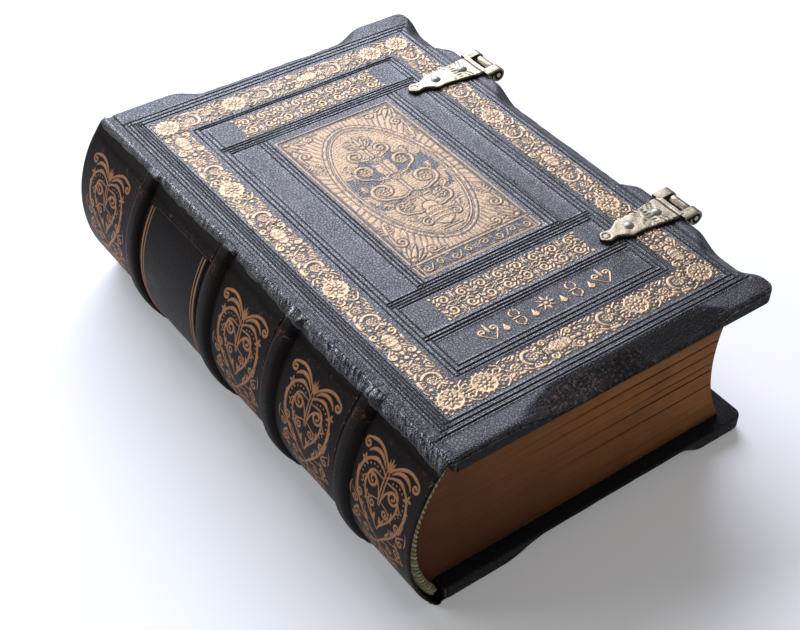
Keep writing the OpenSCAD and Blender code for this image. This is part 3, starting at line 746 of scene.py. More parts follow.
def cover_surface(x, y, uprights, levels, front):
    """How deep a cover's outer face lies at places from the joint, with its wear and how much painted shade its
    hollows get.
    """
    s = sizes()
    r = s.edge_round * MM
    lines = tooling_depth(x, y, uprights, levels, s.tool_width * MM)
    bevels, cut = bevel_cuts(x, y)
    side = COVER_W - x
    end = HALF_H - np.abs(y)
    edge = np.minimum(side, end)
    fall = np.minimum(r, 0.42 * (COVER_T - bevels)) * quarter_round(edge, r)
    seed = 5 if front else 9
    waves = 0.10 * smooth_noise(x, y, 17.0, 23.0, seed) + 0.05 * smooth_noise(x, y, 6.0, 5.0, seed + 1)
    waves = waves * smooth(0, 8, x)
    soft = 0.22 * smooth_noise(x, y, 3.0, 3.0, seed + 2) * cut
    mask = 1 - smooth(0.35, 0.8, cut)
    depth = bevels + fall + np.maximum(lines, -0.3) * s.tool_depth * MM * mask + waves * 0.8 + soft
    depth = depth + 0.85 * (1 - smooth(0.0, 2.6, x))
    wear = 0.5 * (1 - smooth(0.3, 1.8, edge)) + 0.3 * cut
    worn_patch_with_shade = np.exp(-((x - 62) / 24) ** 8 - ((end - 2.6) / 4.9) ** 8) * (y < 0) * (1.0 if front else 0.5)
    rub_reach, rub_share = (17, 0.7) if front else (24, 0.9)
    corner_rub = (1 - smooth(4, rub_reach, np.hypot(side, end))) * rub_share + 0.9 * worn_patch_with_shade
    wear = np.clip(wear + corner_rub, 0, 1)
    # Painted shade: the tooled grooves, the bevels and the worn patch's end towards the fore-edge get a 'hollow'
    # amount, which darkens the leather.
    hollow = np.maximum(0.85 * np.clip(lines, 0, 1) * mask, 0.5 * cut * (1 - worn_patch_with_shade))
    hollow = np.maximum(hollow, 0.9 * worn_patch_with_shade * smooth(58, 74, x))
    # Below zero beside the lines, where the tool burnished the leather
    burnish = np.clip(tooling_depth(x, y, uprights, levels, 2.9) * 1.6, 0, 1) * mask
    hollow = np.where((lines < 0.02) & (hollow < 0.05), -0.6 * burnish, hollow)
    return np.maximum(depth, -0.12), wear, hollow


def cover_skin(front):
    """The leather over one cover: tooled outer face, bevelled and rounded edges, and turned-in inner rim."""
    uprights = UPRIGHT_LINES if front else BACK_UPRIGHT_LINES
    levels = LEVEL_LINES if front else BACK_LEVEL_LINES
    insets = (*NEAR_EDGE[::-1], *edge_stations(sizes().edge_round * MM)[::-1])
    columns = spread_lines(STRIP_HALF, COVER_W - 8.5, 2.4, [line[0] for line in uprights])
    columns = np.concatenate([columns, [COVER_W - inset for inset in insets]])
    rows = row_places()
    x, y = np.meshgrid(columns, rows)
    depth, wear, hollow = cover_surface(x, y, uprights, levels, front)
    if not front:
        depth = np.maximum(depth, 0.0)
    px, py = rounded_plan(x, y)
    level, sign = (TOTAL_T, -1.0) if front else (0.0, 1.0)

    def at(u, v, d):
        return np.stack([u + JOINT_X, v, level + sign * d], -1)

    shell = Shell("wear", "hollow")
    top = at(px, py, depth)
    shell.grid(top, flip=not front, wear=wear, hollow=hollow)
    # The rim runs from the joint along the tail, round the fore-edge and back along the head
    rim = tuple(np.array(border(*x.shape, closed=False)).T)
    ex, ey, ed, ew = px[rim], py[rim], depth[rim], wear[rim]
    # Inward direction at each rim place, for rounding the lower edge and for the turn-in
    inx = np.clip(ex, 0, COVER_W - CORNER_R) - ex
    iny = np.clip(ey, -HALF_H + CORNER_R, HALF_H - CORNER_R) - ey
    size = np.maximum(np.hypot(inx, iny), 1e-6)
    inx, iny = inx / size, iny / size
    rings = []

    def add_ring(u, v, d, worn):
        rings.append(np.stack(np.broadcast_arrays(u, v, d, worn)))

    low_r = 0.9
    for share in (0.0, 0.25, 0.5, 0.75):
        bulge = 0.25 * math.sin(math.pi * share) * np.clip((COVER_T - ed - low_r) / 6, 0, 1)
        add_ring(ex - inx * bulge * 0.3, ey, ed + (COVER_T - low_r - ed) * share, ew * (1 - 0.5 * share))
    for a in np.radians((0, 30, 60, 90)):
        inset = low_r * (1 - math.cos(a))
        add_ring(ex + inx * inset, ey + iny * inset, COVER_T - low_r * (1 - math.sin(a)), 0.45)
    # The turned-in leather lies a little unevenly and ends in a pared edge under the end paper
    window_x = np.clip(ex, 0, COVER_W - TURN_IN)
    window_y = np.clip(ey, -HALF_H + TURN_IN, HALF_H - TURN_IN)
    start_x, start_y = ex + inx * low_r, ey + iny * low_r
    away = np.abs(ex - COVER_W) + np.abs(np.abs(ey) - HALF_H)
    for share in (0.2, 0.45, 0.7, 0.9, 0.98):
        u = start_x + (window_x - start_x) * share
        v = start_y + (window_y - start_y) * share
        pleat = 0.12 * np.sin(np.arctan2(v, u - COVER_W + 20) * 60) * np.exp(-away / 14)
        uneven = (0.05 * smooth_noise(u, v, 7, 7, 77) - np.abs(pleat)) * (share < 0.9)
        add_ring(u, v, np.minimum(COVER_T - 0.05 + uneven, COVER_T), 0.15)
    for drop in (0.5, 1.0):
        add_ring(window_x, window_y, COVER_T - drop, 0.1)
    u, v, d, worn = np.stack(rings, 1)
    # Painted shade: the rim's sides and the turn-in are fully darkened.
    shell.grid(at(u, v, d), flip=not front, wear=worn, hollow=1.0)
    # Leather folded over the board's edge in the joint
    turn = np.radians(np.arange(0, 360, 30))
    middle = (1.2 + COVER_T - 0.4) / 2
    lobe_x, lobe_z = (np.sign(wave) * np.abs(wave) ** 0.35 for wave in (np.cos(turn), np.sin(turn)))
    ends = np.clip((HALF_H - 0.15 - np.abs(rows)) / 0.8, 0, 1)[:, None] ** 0.5
    place = np.clip(rows, 0.15 - HALF_H, HALF_H - 0.15)[:, None] + 0 * turn
    fold = at(0.85 + 0.78 * lobe_x * (0.6 + 0.4 * ends), place,
              middle + (middle - 1.2) * lobe_z * (0.85 + 0.15 * ends))
    count = len(turn)
    # The leather folded over the board's edge gets some painted shade.
    first = shell.grid(fold, loop_columns=True, flip=front, wear=0.05, hollow=0.3)
    shell.cap(first, count, turned=not front)
    shell.cap(first + (len(rows) - 1) * count, count, turned=front)
    return shell, top[:, 0]


def back_section():
    """Places round the spine's section from the front joint to the back joint: X, Z and the normal."""
    start = JOINT_X - STRIP_HALF
    flat_end = AXIS_X - SHOULDER_IN
    rows = [(start + (flat_end - start) * t, TOTAL_T, 0.0, 1.0) for t in np.linspace(0, 1, 4)[:-1]]
    arcs = (
        # middle in X and Z, radius, first and last angle, count of places
        (flat_end, TOTAL_T - SHOULDER_R, SHOULDER_R, 90, 180 - SHOULDER_ANGLE, 11),
        (AXIS_X, MID_Z, SPINE_R, 180 - SHOULDER_ANGLE, 180, 31),
    )
    for centre_x, centre_z, r, first, last, count in arcs:
        for a in np.radians(np.linspace(first, last, count)[:-1]):
            c, s = math.cos(a), math.sin(a)
            rows.append((centre_x + r * c, centre_z + r * s, c, s))
    upper = np.array(rows)
    middle = np.array([(AXIS_X - SPINE_R, MID_Z, -1.0, 0.0)])
    lower = upper[::-1].copy()
    lower[:, 1] = TOTAL_T - lower[:, 1]
    lower[:, 3] = -lower[:, 3]
    return np.concatenate([upper, middle, lower])


def round_back(r, turn, y):
    """Places at a radius and an angle round the axis of the rounded back, at a height along the book."""
    return np.stack(np.broadcast_arrays(AXIS_X - r * np.cos(turn), y, MID_Z + r * np.sin(turn)), -1)


def back_length():
    """Length of the spine's section from joint to joint."""
    x, z = back_section().T[:2]
    return np.hypot(np.diff(x), np.diff(z)).sum()


def leather_waves(span, y):
    """Slow unevenness of the spine's leather at places round its section and along the book."""
    from_joint = np.minimum(span, back_length() - span)
    return 0.14 * smooth_noise(span, y, 15, 13, 51) * smooth(6, 12, from_joint)


def end_lip(y):
    """How far the spine's leather rounds over at head and tail."""
    return 0.55 * quarter_round(HALF_H - np.abs(y), 1.2)


def keep_within(out, z, nz, top):
    """Limits how far leather stands out, so that it passes neither a height nor the floor."""
    most = np.where(nz > 0.02, (top - z) / np.maximum(nz, 0.02), np.inf)
    return np.minimum(out, np.where(nz < -0.02, z / np.maximum(-nz, 0.02), most))


def back_surface(section, rows):
    """How far the spine's leather stands out at places of its section and rows, with wear and with hollows that take
    painted shade.

    A section that stops short of the other joint is counted from its first place.
    """
    s = sizes()
    x, z, nx, nz = section.T
    span, y = np.meshgrid(run_length(x, z), rows)
    from_joint = np.minimum(span, back_length() - span)
    rise = np.zeros_like(span)
    flank = np.zeros_like(span)
    line = np.zeros_like(span)
    half = s.band_width * MM / 2
    for number, band in enumerate(BAND_Y):
        off = np.abs(y - band - 0.35 * line_noise(span, 18.0, 7 + number))
        rise = np.maximum(rise, np.clip(1 - (off / (half + 0.8)) ** 3.6, 0, 1))
        flank = np.maximum(flank, np.exp(-((off - half - 0.9) / 0.8) ** 2))
        line = np.maximum(line, np.exp(-((y - band - half - 1.9) / 0.3) ** 2))
    fade = smooth(3.2, 8.5, from_joint)
    lumps = smooth_noise(y, span, 9.0, 30.0, 45) + 0.6 * smooth_noise(y, span, 4.1, 30.0, 47)
    crease = np.exp(-((from_joint - 8.4 - 0.5 * lumps) / 0.9) ** 2)
    out = s.band_rise * MM * rise * smooth(0.6, 4.2, from_joint) - 0.18 * flank * fade
    out = out - 0.15 * crease + 0.07 * line * fade + leather_waves(span, y)
    out = out - end_lip(y) - 0.85 * (1 - smooth(0, 1.3, from_joint))
    out = keep_within(out, z, nz, TOTAL_T + 0.3)
    wear = 0.4 * (1 - smooth(0.4, 2.6, HALF_H - np.abs(y))) + 0.2 * rise * fade + 0.9 * line * fade
    wear = wear + 0.38 * np.exp(-((from_joint - 11) / 3.5) ** 2)
    # Painted shade: the flanks beside the bands, the crease near the joint and the edge at the joint get a 'hollow'
    # amount, which darkens the leather.
    hollow = 0.8 * flank * fade + 0.6 * crease + 0.7 * (1 - smooth(0.2, 1.2, from_joint))
    return out, np.clip(wear, 0, 1), np.clip(hollow, 0, 1)


def shoulder_skin(front):
    """A cover's wrinkled leather where it laps over the spine's shoulder, with its scalloped edge."""
    section = back_section()
    reach = run_length(*section.T[:2])
    places = np.linspace(0, 9.2, 33)
    x, z, nx, nz = (np.interp(places, reach, section[:, k]) for k in range(4))
    if not front:
        z, nz = TOTAL_T - z, -nz
    rows = np.linspace(0.1 - HALF_H, HALF_H - 0.1, 720 if front else 200)
    out, _, _ = back_surface(np.stack([x, z, nx, nz], -1), rows)
    span, y = np.meshgrid(places, rows)
    band = np.max([np.exp(-((y - b) / 4.0) ** 2) for b in BAND_Y], 0)
    edge = 4.9 + 1.8 * smooth(-10, 60, -y) + 0.5 * line_noise(y, 7.0, 61) + 0.3 * line_noise(y, 2.2, 63)
    edge = edge - 1.2 * band
    slant = y + span * 0.8 + 1.2 * smooth_noise(y, span, 5.0, 9.0, 65)
    folds = smooth_noise(slant, span, 0.5, 2.6, 41) + 0.4 * smooth_noise(slant, span, 1.1, 3.0, 43)
    lumps = smooth_noise(y, span, 5.5, 7.0, 67) + 0.5 * smooth_noise(y, span, 2.4, 3.0, 69)
    uneven = 0.75 + 0.35 * smooth_noise(y, span, 9.0, 5.0, 71)
    rough = 0.25 + 0.75 * smooth(-105, -25, -y) * uneven + 0.3 * band
    worked = smooth(0.2, 1.4, span) * (1 - smooth(edge - 1.2, edge - 0.2, span))
    lift = 0.3 * smooth(0.0, 0.7, span) * (1 - smooth(edge - 0.8, edge, span)) - 0.14
    sunk = 0.5 * smooth(edge, edge + 1.0, span)
    ends = smooth(0.0, 1.2, HALF_H - np.abs(y))
    wrinkles = 0.6 * folds * rough + 0.24 * lumps + 0.15
    out = out - sunk + lift * (0.4 + 0.6 * ends) + sizes().wrinkle * MM * worked * ends * wrinkles
    out = keep_within(out, z, nz, TOTAL_T + 0.35)
    # Painted shade: the wrinkles' valleys, the edge at the joint and the band before the scalloped edge darken the
    # leather through 'hollow'.
    valleys = np.clip(0.55 - 1.4 * folds, 0, 1) * (0.4 + 0.6 * rough) * worked
    borders = 0.6 * (1 - smooth(0.3, 1.3, span)) + 0.7 * smooth(edge - 3.2, edge - 0.8, span)
    shell = Shell("wear", "hollow")
    shell.grid(np.stack([x + nx * out, y, z + nz * out], -1), flip=front,
               wear=0.22 * worked + 0.25 * band * worked, hollow=np.clip(valleys + borders, 0, 1))
    return shell


def spine_skin():
    """The leather over the rounded back, a closed sheet with its thickness, and its two borders."""
    section = back_section()
    rows = row_places()
    out, wear, hollow = back_surface(section, rows)
    x, z, nx, nz = section.T
    y = np.broadcast_to(rows[:, None], out.shape)

    def at(rise):
        return np.stack([x + nx * rise, y, z + nz * rise], -1)

    shell = Shell("wear", "hollow")
    outer = at(out)
    shell.grid(outer, flip=True, wear=wear, hollow=hollow)
    # The inner face gets a little painted shade.
    shell.grid(at(end_lip(y) * 0.8 - sizes().leather_thickness * MM), wear=wear * 0.2, hollow=0.2)
    shell.close_sheet(out.shape)
    return shell, outer[:, 0], outer[:, -1]


def joint_strip(start_edge, end_edge, front):
    """Leather in the fold between the spine and a cover, sharing both their borders."""
    dip = np.array([0, 0.35, 0.55, 0.6, 0.5, 0.25, 0]) * 0.12
    shares = np.linspace(0, 1, len(dip))
    grid = np.stack([start_edge + (end_edge - start_edge) * t for t in shares], 1)
    y = grid[..., 1]
    wrinkles = 0.10 * line_noise(y, 0.8, 91) + 0.14 * line_noise(y, 2.3, 93)
    shape = np.sin(np.pi * shares)
    grid[..., 2] += (dip - wrinkles * shape) * (-1 if front else 1)
    if not front:
        grid[..., 2] = np.maximum(grid[..., 2], 0.02)
    shell = Shell("wear", "hollow")
    # Painted shade in the fold of the joint, strongest at its middle.
    shell.grid(grid, flip=not front, wear=0.12, hollow=np.broadcast_to(0.45 + 0.4 * shape, y.shape))
    shell.grid(grid + (0, 0, -0.5 if front else 0.5), flip=front, wear=0.1, hollow=0.3)
    shell.close_sheet(y.shape)
    return shell


class OLDBOOK_OT_camera(bpy.types.Operator):
    """Places the camera above the tail and spine corner"""

    bl_idname = "old_book.camera"
    bl_label = "Camera"

    def execute(self, context):
        data = bpy.data.cameras.new("Camera")
        data.lens = 66.33
        data.sensor_width = 36.0
        data.clip_start = 0.01
        camera = bpy.data.objects.new("Camera", data)
        camera.location = (-0.27152, -0.34441, 0.41088)
        camera.rotation_euler = [math.radians(a) for a in (47.860, -1.680, -36.380)]
        context.scene.collection.objects.link(camera)
        context.scene.camera = camera
        return {"FINISHED"}


class OLDBOOK_OT_leather(bpy.types.Operator):
    """Covers the spine, both joints and both boards with leather"""

    bl_idname = "old_book.leather"
    bl_label = "Leather"

    def execute(self, context):
        spine, front_edge, back_edge = spine_skin()
        piece = spine.build("spine_leather_skin", finish("spine_leather"))
        place_piece(piece, "book_block", "spine_leather", "spine_leather")
        for side, front, spine_edge in (("front", True, front_edge), ("back", False, back_edge)):
            fold = shoulder_skin(front).build(side + "_shoulder_leather", finish("fold_leather"))
            place_piece(fold, "book_block", "cover_leather")
            shell, edge = cover_skin(front)
            cover = shell.build(side + "_cover_skin", finish("cover_leather"), weld=0.001)
            place_piece(cover, side + "_cover", "cover_leather", side + "_cover_leather")
            strip = joint_strip(spine_edge, edge, front)
            joint = strip.build(side + "_joint_leather", finish("fold_leather"))
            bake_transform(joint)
        return {"FINISHED"}


class OLDBOOK_OT_stage(bpy.types.Operator):
    """Lays the pale floor and hangs the soft lights"""

    bl_idname = "old_book.stage"
    bl_label = "Floor and lights"

    def execute(self, context):
        scene = context.scene
        scene.view_settings.view_transform = "Standard"
        f = Finish("floor")
        speck = f.noise(0.02, 2.0, 0.5)
        c = colours().floor
        f.set(Base_Color=f.mix(speck, shade(c, 0.985), c), Roughness=0.9, Specular_IOR_Level=0.1,
              Emission_Color=(1.0, 1.0, 1.0, 1.0), Emission_Strength=0.17)
        shell = Shell()
        reach = 4000.0
        steps = np.linspace(-reach, reach, 9)
        x, y = np.meshgrid(steps, steps)
        shell.grid(np.stack([x, y, np.full_like(x, -0.02)], -1))
        floor = shell.build("floor", f.material)
        world = bpy.data.worlds.new("Studio")
        scene.world = world
        world.use_nodes = True
        back = world.node_tree.nodes["Background"]
        back.inputs[0].default_value = (0.93, 0.95, 1.0, 1.0)
        back.inputs[1].default_value = 0.15
        lamps = (
            # name, place, aim, width, height, power, colour
            ("Window", (0.45, 1.42, 1.15), (0.0, 0.05, 0.05), 1.8, 1.2, 62.0, (0.785, 0.825, 1.0)),
            ("Side window", (-1.3, 0.9, 0.95), (-0.03, 0.05, 0.05), 0.9, 0.9, 10.0, (0.86, 0.92, 1.0)),
            ("Room", (1.1, -1.3, 1.2), (0.0, 0.0, 0.04), 1.2, 1.2, 2.0, (1.0, 0.95, 0.88)),
        )
        for name, place, aim, wide, high, power, tint in lamps:
            data = bpy.data.lights.new(name, "AREA")
            data.shape = "RECTANGLE"
            data.size = wide
            data.size_y = high
            data.energy = power
            data.color = tint
            lamp = bpy.data.objects.new(name, data)
            lamp.location = place
            lamp.rotation_euler = (Vector(aim) - Vector(place)).to_track_quat("-Z", "Y").to_euler()
            scene.collection.objects.link(lamp)
        return {"FINISHED"}


class Relief:
    """Heights on a fine grid, in millimetres, into which strokes are pressed like a binder's tool.

    A swell over 1 widens all its strokes, and without moats none of them has a channel round it.
    """

    EDGE = 0.5
    CHANNEL = -0.12

    def __init__(self, wide, high, step, swell=1.0, moats=True):
        columns = int(round(wide / step)) + 1
        rows = int(round(high / step)) + 1
        self.xs = np.linspace(-wide / 2, wide / 2, columns)
        self.ys = np.linspace(-high / 2, high / 2, rows)
        self.u, self.v = np.meshgrid(self.xs, self.ys)
        self.level = np.full(self.u.shape, -1.0)
        self.swell = swell
        self.moats = moats
        self.move()

    def move(self, x=0.0, y=0.0, angle=0.0, size=1.0, flip=False):
        """Sets where, how turned and how large strokes are drawn; a flipped one is mirrored first."""
        c, s = math.cos(math.radians(angle)) * size, math.sin(math.radians(angle)) * size
        mirror = -1.0 if flip else 1.0
        self.turn = np.array([[c, s], [-s * mirror, c * mirror]])
        self.origin = np.array([x, y])
        self.size = size

    def stroke(self, path, widths, lift=1.0, moat=0.32):
        """Presses a rounded stroke of these widths along a path, in a narrow channel of its own."""
        path = np.asarray(path, float) @ self.turn + self.origin
        radii = np.broadcast_to(np.multiply(widths, self.swell), (len(path),)) * self.size / 2
        reach = radii.max() + 0.8
        low, high = path.min(0) - reach, path.max(0) + reach
        i0, i1 = np.searchsorted(self.xs, (low[0], high[0]))
        j0, j1 = np.searchsorted(self.ys, (low[1], high[1]))
        if i0 >= i1 or j0 >= j1:
            return
        u, v = self.u[j0:j1, i0:i1], self.v[j0:j1, i0:i1]
        inside = np.full(u.shape, -9.0)
        for (ax, ay), (bx, by), ra, rb in zip(path, path[1:], radii, radii[1:]):
            dx, dy = bx - ax, by - ay
            t = np.clip(((u - ax) * dx + (v - ay) * dy) / max(dx * dx + dy * dy, 1e-9), 0, 1)
            inside = np.maximum(inside, ra + (rb - ra) * t - np.hypot(u - ax - dx * t, v - ay - dy * t))
        edge = np.clip(inside / min(radii.max(), self.EDGE), -1.0, 1.0)
        shape = lift * np.where(edge > 0, edge * (2 - edge), 2 * edge)
        level = self.level[j0:j1, i0:i1]
        if moat and self.moats:
            level = np.where(inside > -moat, np.minimum(level, self.CHANNEL), level)
        self.level[j0:j1, i0:i1] = np.maximum(level, shape)

    def curve(self, points, width, taper=0.35, **how):
        """A swelling stroke through a few guide points."""
        last = len(points) - 1
        t = np.linspace(0, 1, 18)
        blend = [math.comb(last, k) * t ** k * (1 - t) ** (last - k) for k in range(last + 1)]
        path = np.stack(blend, 1) @ np.asarray(points, float)
        self.stroke(path, width * (taper + (1 - taper) * np.sin(np.pi * t) ** 0.8), **how)

    def scroll(self, start, centre, r, turns, side, width, bud=0.55, bend=0.0, **how):
        """A stem that runs into a spiral round a centre, with a bud at its end."""
        (sx, sy), (cx, cy) = start, centre
        far = max(math.hypot(sx - cx, sy - cy), r * 1.001)
        first = math.atan2(sy - cy, sx - cx) + side * math.acos(r / far)
        t = np.linspace(0, 1, int(10 + 16 * turns))
        angle = first + side * t * turns * 2 * math.pi
        radius = r * (1 - 0.76 * t ** 0.85)
        spiral = np.stack([cx + radius * np.cos(angle), cy + radius * np.sin(angle)], 1)
        k = np.linspace(0, 1, 7)[:-1, None]
        across = np.array([-(spiral[0, 1] - sy), spiral[0, 0] - sx])
        stem = np.array(start) * (1 - k) + spiral[0] * k + across * bend * 4 * k * (1 - k)
        path = np.concatenate([stem, spiral])
        share = np.clip(np.linspace(0, 1, len(path)) * 0.95 + 0.03, 0, 1)
        self.stroke(path, width * (0.45 + 0.55 * np.sin(np.pi * share) ** 0.7), **how)
        self.dot(*spiral[-1], width * bud, moat=0.0)

    def leaf(self, x, y, heading, length, width, turn=0.0, **how):
        """A pointed leaf, which may bend along its length."""
        t = np.linspace(0, 1, 8)
        angle = np.radians(heading + turn * (t[1:] + t[:-1]) / 2)
        steps = np.stack([np.cos(angle), np.sin(angle)], 1) * (length / 7)
        path = np.concatenate([[(0, 0)], np.cumsum(steps, 0)]) + (x, y)
        self.stroke(path, width * np.maximum(np.sin(np.pi * t ** 0.75), 0.06), **how)

    def dot(self, x, y, r, **how):
        """A small dome."""
        self.stroke([(x, y), (x + 1e-4, y)], 2 * r, **how)

    def ring(self, x, y, a, b, width, **how):
        """A closed oval line."""
        turn = np.linspace(0, 2 * np.pi, 41)
        self.stroke(np.stack([x + a * np.cos(turn), y + b * np.sin(turn)], 1), width, **how)

    def fan(self, x, y, heading, count, spread, length, width, turn=0.0, **how):
        """Leaves that spread from one place, the outer ones first and shorter."""
        for share in sorted(np.linspace(-1, 1, count), key=lambda s: -abs(s)):
            reach = length * (1 - 0.3 * abs(share))
            self.leaf(x, y, heading + spread / 2 * share, reach, width, turn * share, **how)

    def rosette(self, x, y, r, petals, width):
        """A round flower with a raised eye."""
        for i in range(petals):
            a = 2 * math.pi * (i + 0.3) / petals
            px, py = x + math.cos(a) * r * 0.2, y + math.sin(a) * r * 0.2
            self.leaf(px, py, math.degrees(a), r * 0.82, width, moat=0.2)
        self.dot(x, y, r * 0.27)

    def acanthus(self, x, y, heading, length, width, turn, lobes=4):
        """A bent leaf with smaller leaves springing from both its sides."""
        for i in range(lobes):
            share = 0.12 + 0.62 * i / lobes
            a = math.radians(heading + turn * share / 2)
            px, py = x + math.cos(a) * length * share, y + math.sin(a) * length * share
            reach = length * 0.4 * (1 - 0.4 * share)
            for sign in (-1, 1):
                self.leaf(px, py, heading + turn * share + sign * 52, reach, width * 0.75, sign * 36, moat=0.2)
        self.leaf(x, y, heading, length, width, turn, moat=0.2)

    def fill(self, reach_x, reach_y, smallest=0.3, largest=0.95, gap=0.3):
        """Puts berries into what is still bare."""
        u, v, gold = self.u.ravel(), self.v.ravel(), self.level.ravel() > 0
        columns = self.u.shape[1]
        beside = np.stack([np.roll(gold, k) for k in (1, -1, columns, -columns)]).min(0)
        edge = gold & (beside == 0)
        bare = np.flatnonzero((np.abs(u) < reach_x) & (np.abs(v) < reach_y) & ~gold)
        apart = np.full(len(bare), 99.0)
        for x, y in zip(u[edge], v[edge]):
            apart = np.minimum(apart, np.hypot(u[bare] - x, v[bare] - y))
        self.move()
        while apart.max() > smallest + gap:
            place = bare[apart.argmax()]
            x, y, r = u[place], v[place], min(apart.max() - gap, largest)
            self.dot(x, y, r, moat=0.0)
            apart = np.minimum(apart, np.hypot(u[bare] - x, v[bare] - y) - r)

    def lay(self, shell, placing, x=0.0, y=0.0, angle=0.0, stretch=1.0, flip=False):
        """Adds what stands over the leather to a shell, placed in the plane and then laid on its surface."""
        faces = grid_faces(*self.level.shape, flip=flip)
        faces = faces[self.level.ravel()[faces].max(1) > -0.04]
        used, numbers = np.unique(faces, return_inverse=True)
        c, s = math.cos(math.radians(angle)), math.sin(math.radians(angle))
        u, v, level = self.u.ravel()[used] * stretch, self.v.ravel()[used], self.level.ravel()[used]
        points = placing(x + u * c - v * s, y + u * s + v * c, np.maximum(level, -0.5))
        shell.add(points, numbers.reshape(-1, 4), top=np.clip(level, 0, 1))


def medallion(tool):
    """A round flower in a double ring, with leaves at its corners."""
    tool.move()
    for side in (-1, 1):
        tool.scroll((side * 3.0, -5.0), (side * 6.6, -2.5), 2.2, 1.15, side, 1.2, bend=-0.2 * side)
        tool.scroll((side * 3.0, 5.0), (side * 6.6, 2.5), 2.2, 1.15, -side, 1.2, bend=0.2 * side)
        tool.fan(side * 4.0, 0.0, 90 - 90 * side, 3, 70, 4.4, 1.4)
    tool.dot(0, 0, 4.7, lift=0.55)
    tool.ring(0, 0, 4.3, 4.3, 0.95, moat=0.0)
    for i in range(16):
        a = 2 * math.pi * i / 16
        tool.dot(4.95 * math.cos(a), 4.95 * math.sin(a), 0.5, moat=0.0)
    tool.rosette(0, 0, 3.5, 8, 1.35)


def scroll_pair(tool):
    """Two opposed scrolls with leaves, filling the roll's width."""
    for flip in (1, -1):
        tool.move(0, 0, 0 if flip > 0 else 180)
        tool.scroll((-8.4, 4.6), (-3.5, -0.9), 4.0, 1.35, -1, 1.7, bend=0.25)
        tool.rosette(-3.5, -0.9, 1.9, 6, 1.0)
        tool.acanthus(-8.3, -3.8, 25, 5.2, 1.6, 40, 3)
        tool.acanthus(-6.2, 4.7, 6, 6.6, 1.7, -34, 3)
        tool.fan(0.6, -4.9, 24, 4, 80, 4.4, 1.35)
        tool.leaf(-1.2, 4.4, -20, 4.6, 1.5, -40)
        tool.leaf(-7.8, 1.0, -70, 3.6, 1.3, 30)


def vase(tool):
    """A footed vase between scrolls, with leaves rising from it."""
    tool.move()
    tool.fan(1.2, 0, 0, 7, 150, 7.0, 1.9, 24)
    for side in (1, -1):
        tool.scroll((-4.5, 1.4 * side), (-6.3, 3.6 * side), 1.75, 1.1, side, 1.15)
        tool.scroll((1.6, 2.8 * side), (4.9, 3.7 * side), 1.7, 1.2, -side, 1.15)
        tool.leaf(-3.4, 4.9 * side, 0, 4.0, 1.3, -10 * side)
        tool.leaf(-8.3, 0.8 * side, 20 * side, 3.0, 1.3)
    tool.stroke([(-6.9, 0), (-6.6, 0), (-6.2, 0), (-4.8, 0), (-2.8, 0), (-0.8, 0), (0.6, 0), (1.5, 0)],
                (1.6, 1.4, 1.3, 2.6, 5.6, 5.0, 2.9, 4.0), lift=0.8)
    for at, half in ((-8.4, 2.2), (-7.3, 1.3)):
        tool.stroke([(at, -half), (at, half)], 0.8, moat=0.2)
    for at, half in ((-7.9, 1.4), (-6.6, 0.9), (-3.6, 2.0), (-1.9, 2.2), (0.6, 1.5)):
        tool.stroke([(at, -half), (at + 0.5, 0), (at, half)], 0.5, moat=0.22)
    tool.dot(7.3, 0, 1.1)


def draw_strip(tool, wide, high, units):
    """A strip of facing scrolls, leaves and flowers."""
    pitch = wide / units
    size = high / 13.0
    half = pitch / 2 / size
    for i in range(units):
        x = -wide / 2 + pitch * (i + 0.5)
        for side in (1, -1):
            for turned in (0, 180):
                tool.move(x, 0, turned, size, flip=(side < 0) != (turned > 0))
                tool.scroll((0.4, -0.1), (-half + 4.3, 3.1), 2.9, 1.4, -1, 1.4, bend=-0.2)
                tool.scroll((-half + 0.4, 0.3), (-half + 1.5, 2.2), 1.0, 0.8, -1, 1.0)
                tool.leaf(-half + 0.5, 3.2, 80, 3.4, 1.2, -50)
                tool.leaf(-half + 1.6, 6.1, 4, 3.6, 1.2, -14)
                tool.acanthus(-1.2, 4.6, 46, 3.2, 1.1, 60, 2)
        tool.move(x, 0, 0, size)
        tool.rosette(0, 0, 1.7, 6, 0.9)
        for turned in (90, -90):
            tool.fan(0, 0.022 * turned, turned, 3, 54, 4.2, 1.35)
    for i in range(units + 1):
        tool.move(-wide / 2 + pitch * i, 0, 0, size)
        tool.leaf(-1.4, 0, 0, 2.8, 1.2)


def draw_frame(tool, x, y, width, moat=0.3):
    """A plain rectangle of four lines round the middle of the tool."""
    tool.stroke([(-x, -y), (x, -y), (x, y), (-x, y), (-x, -y)], width, moat=moat)


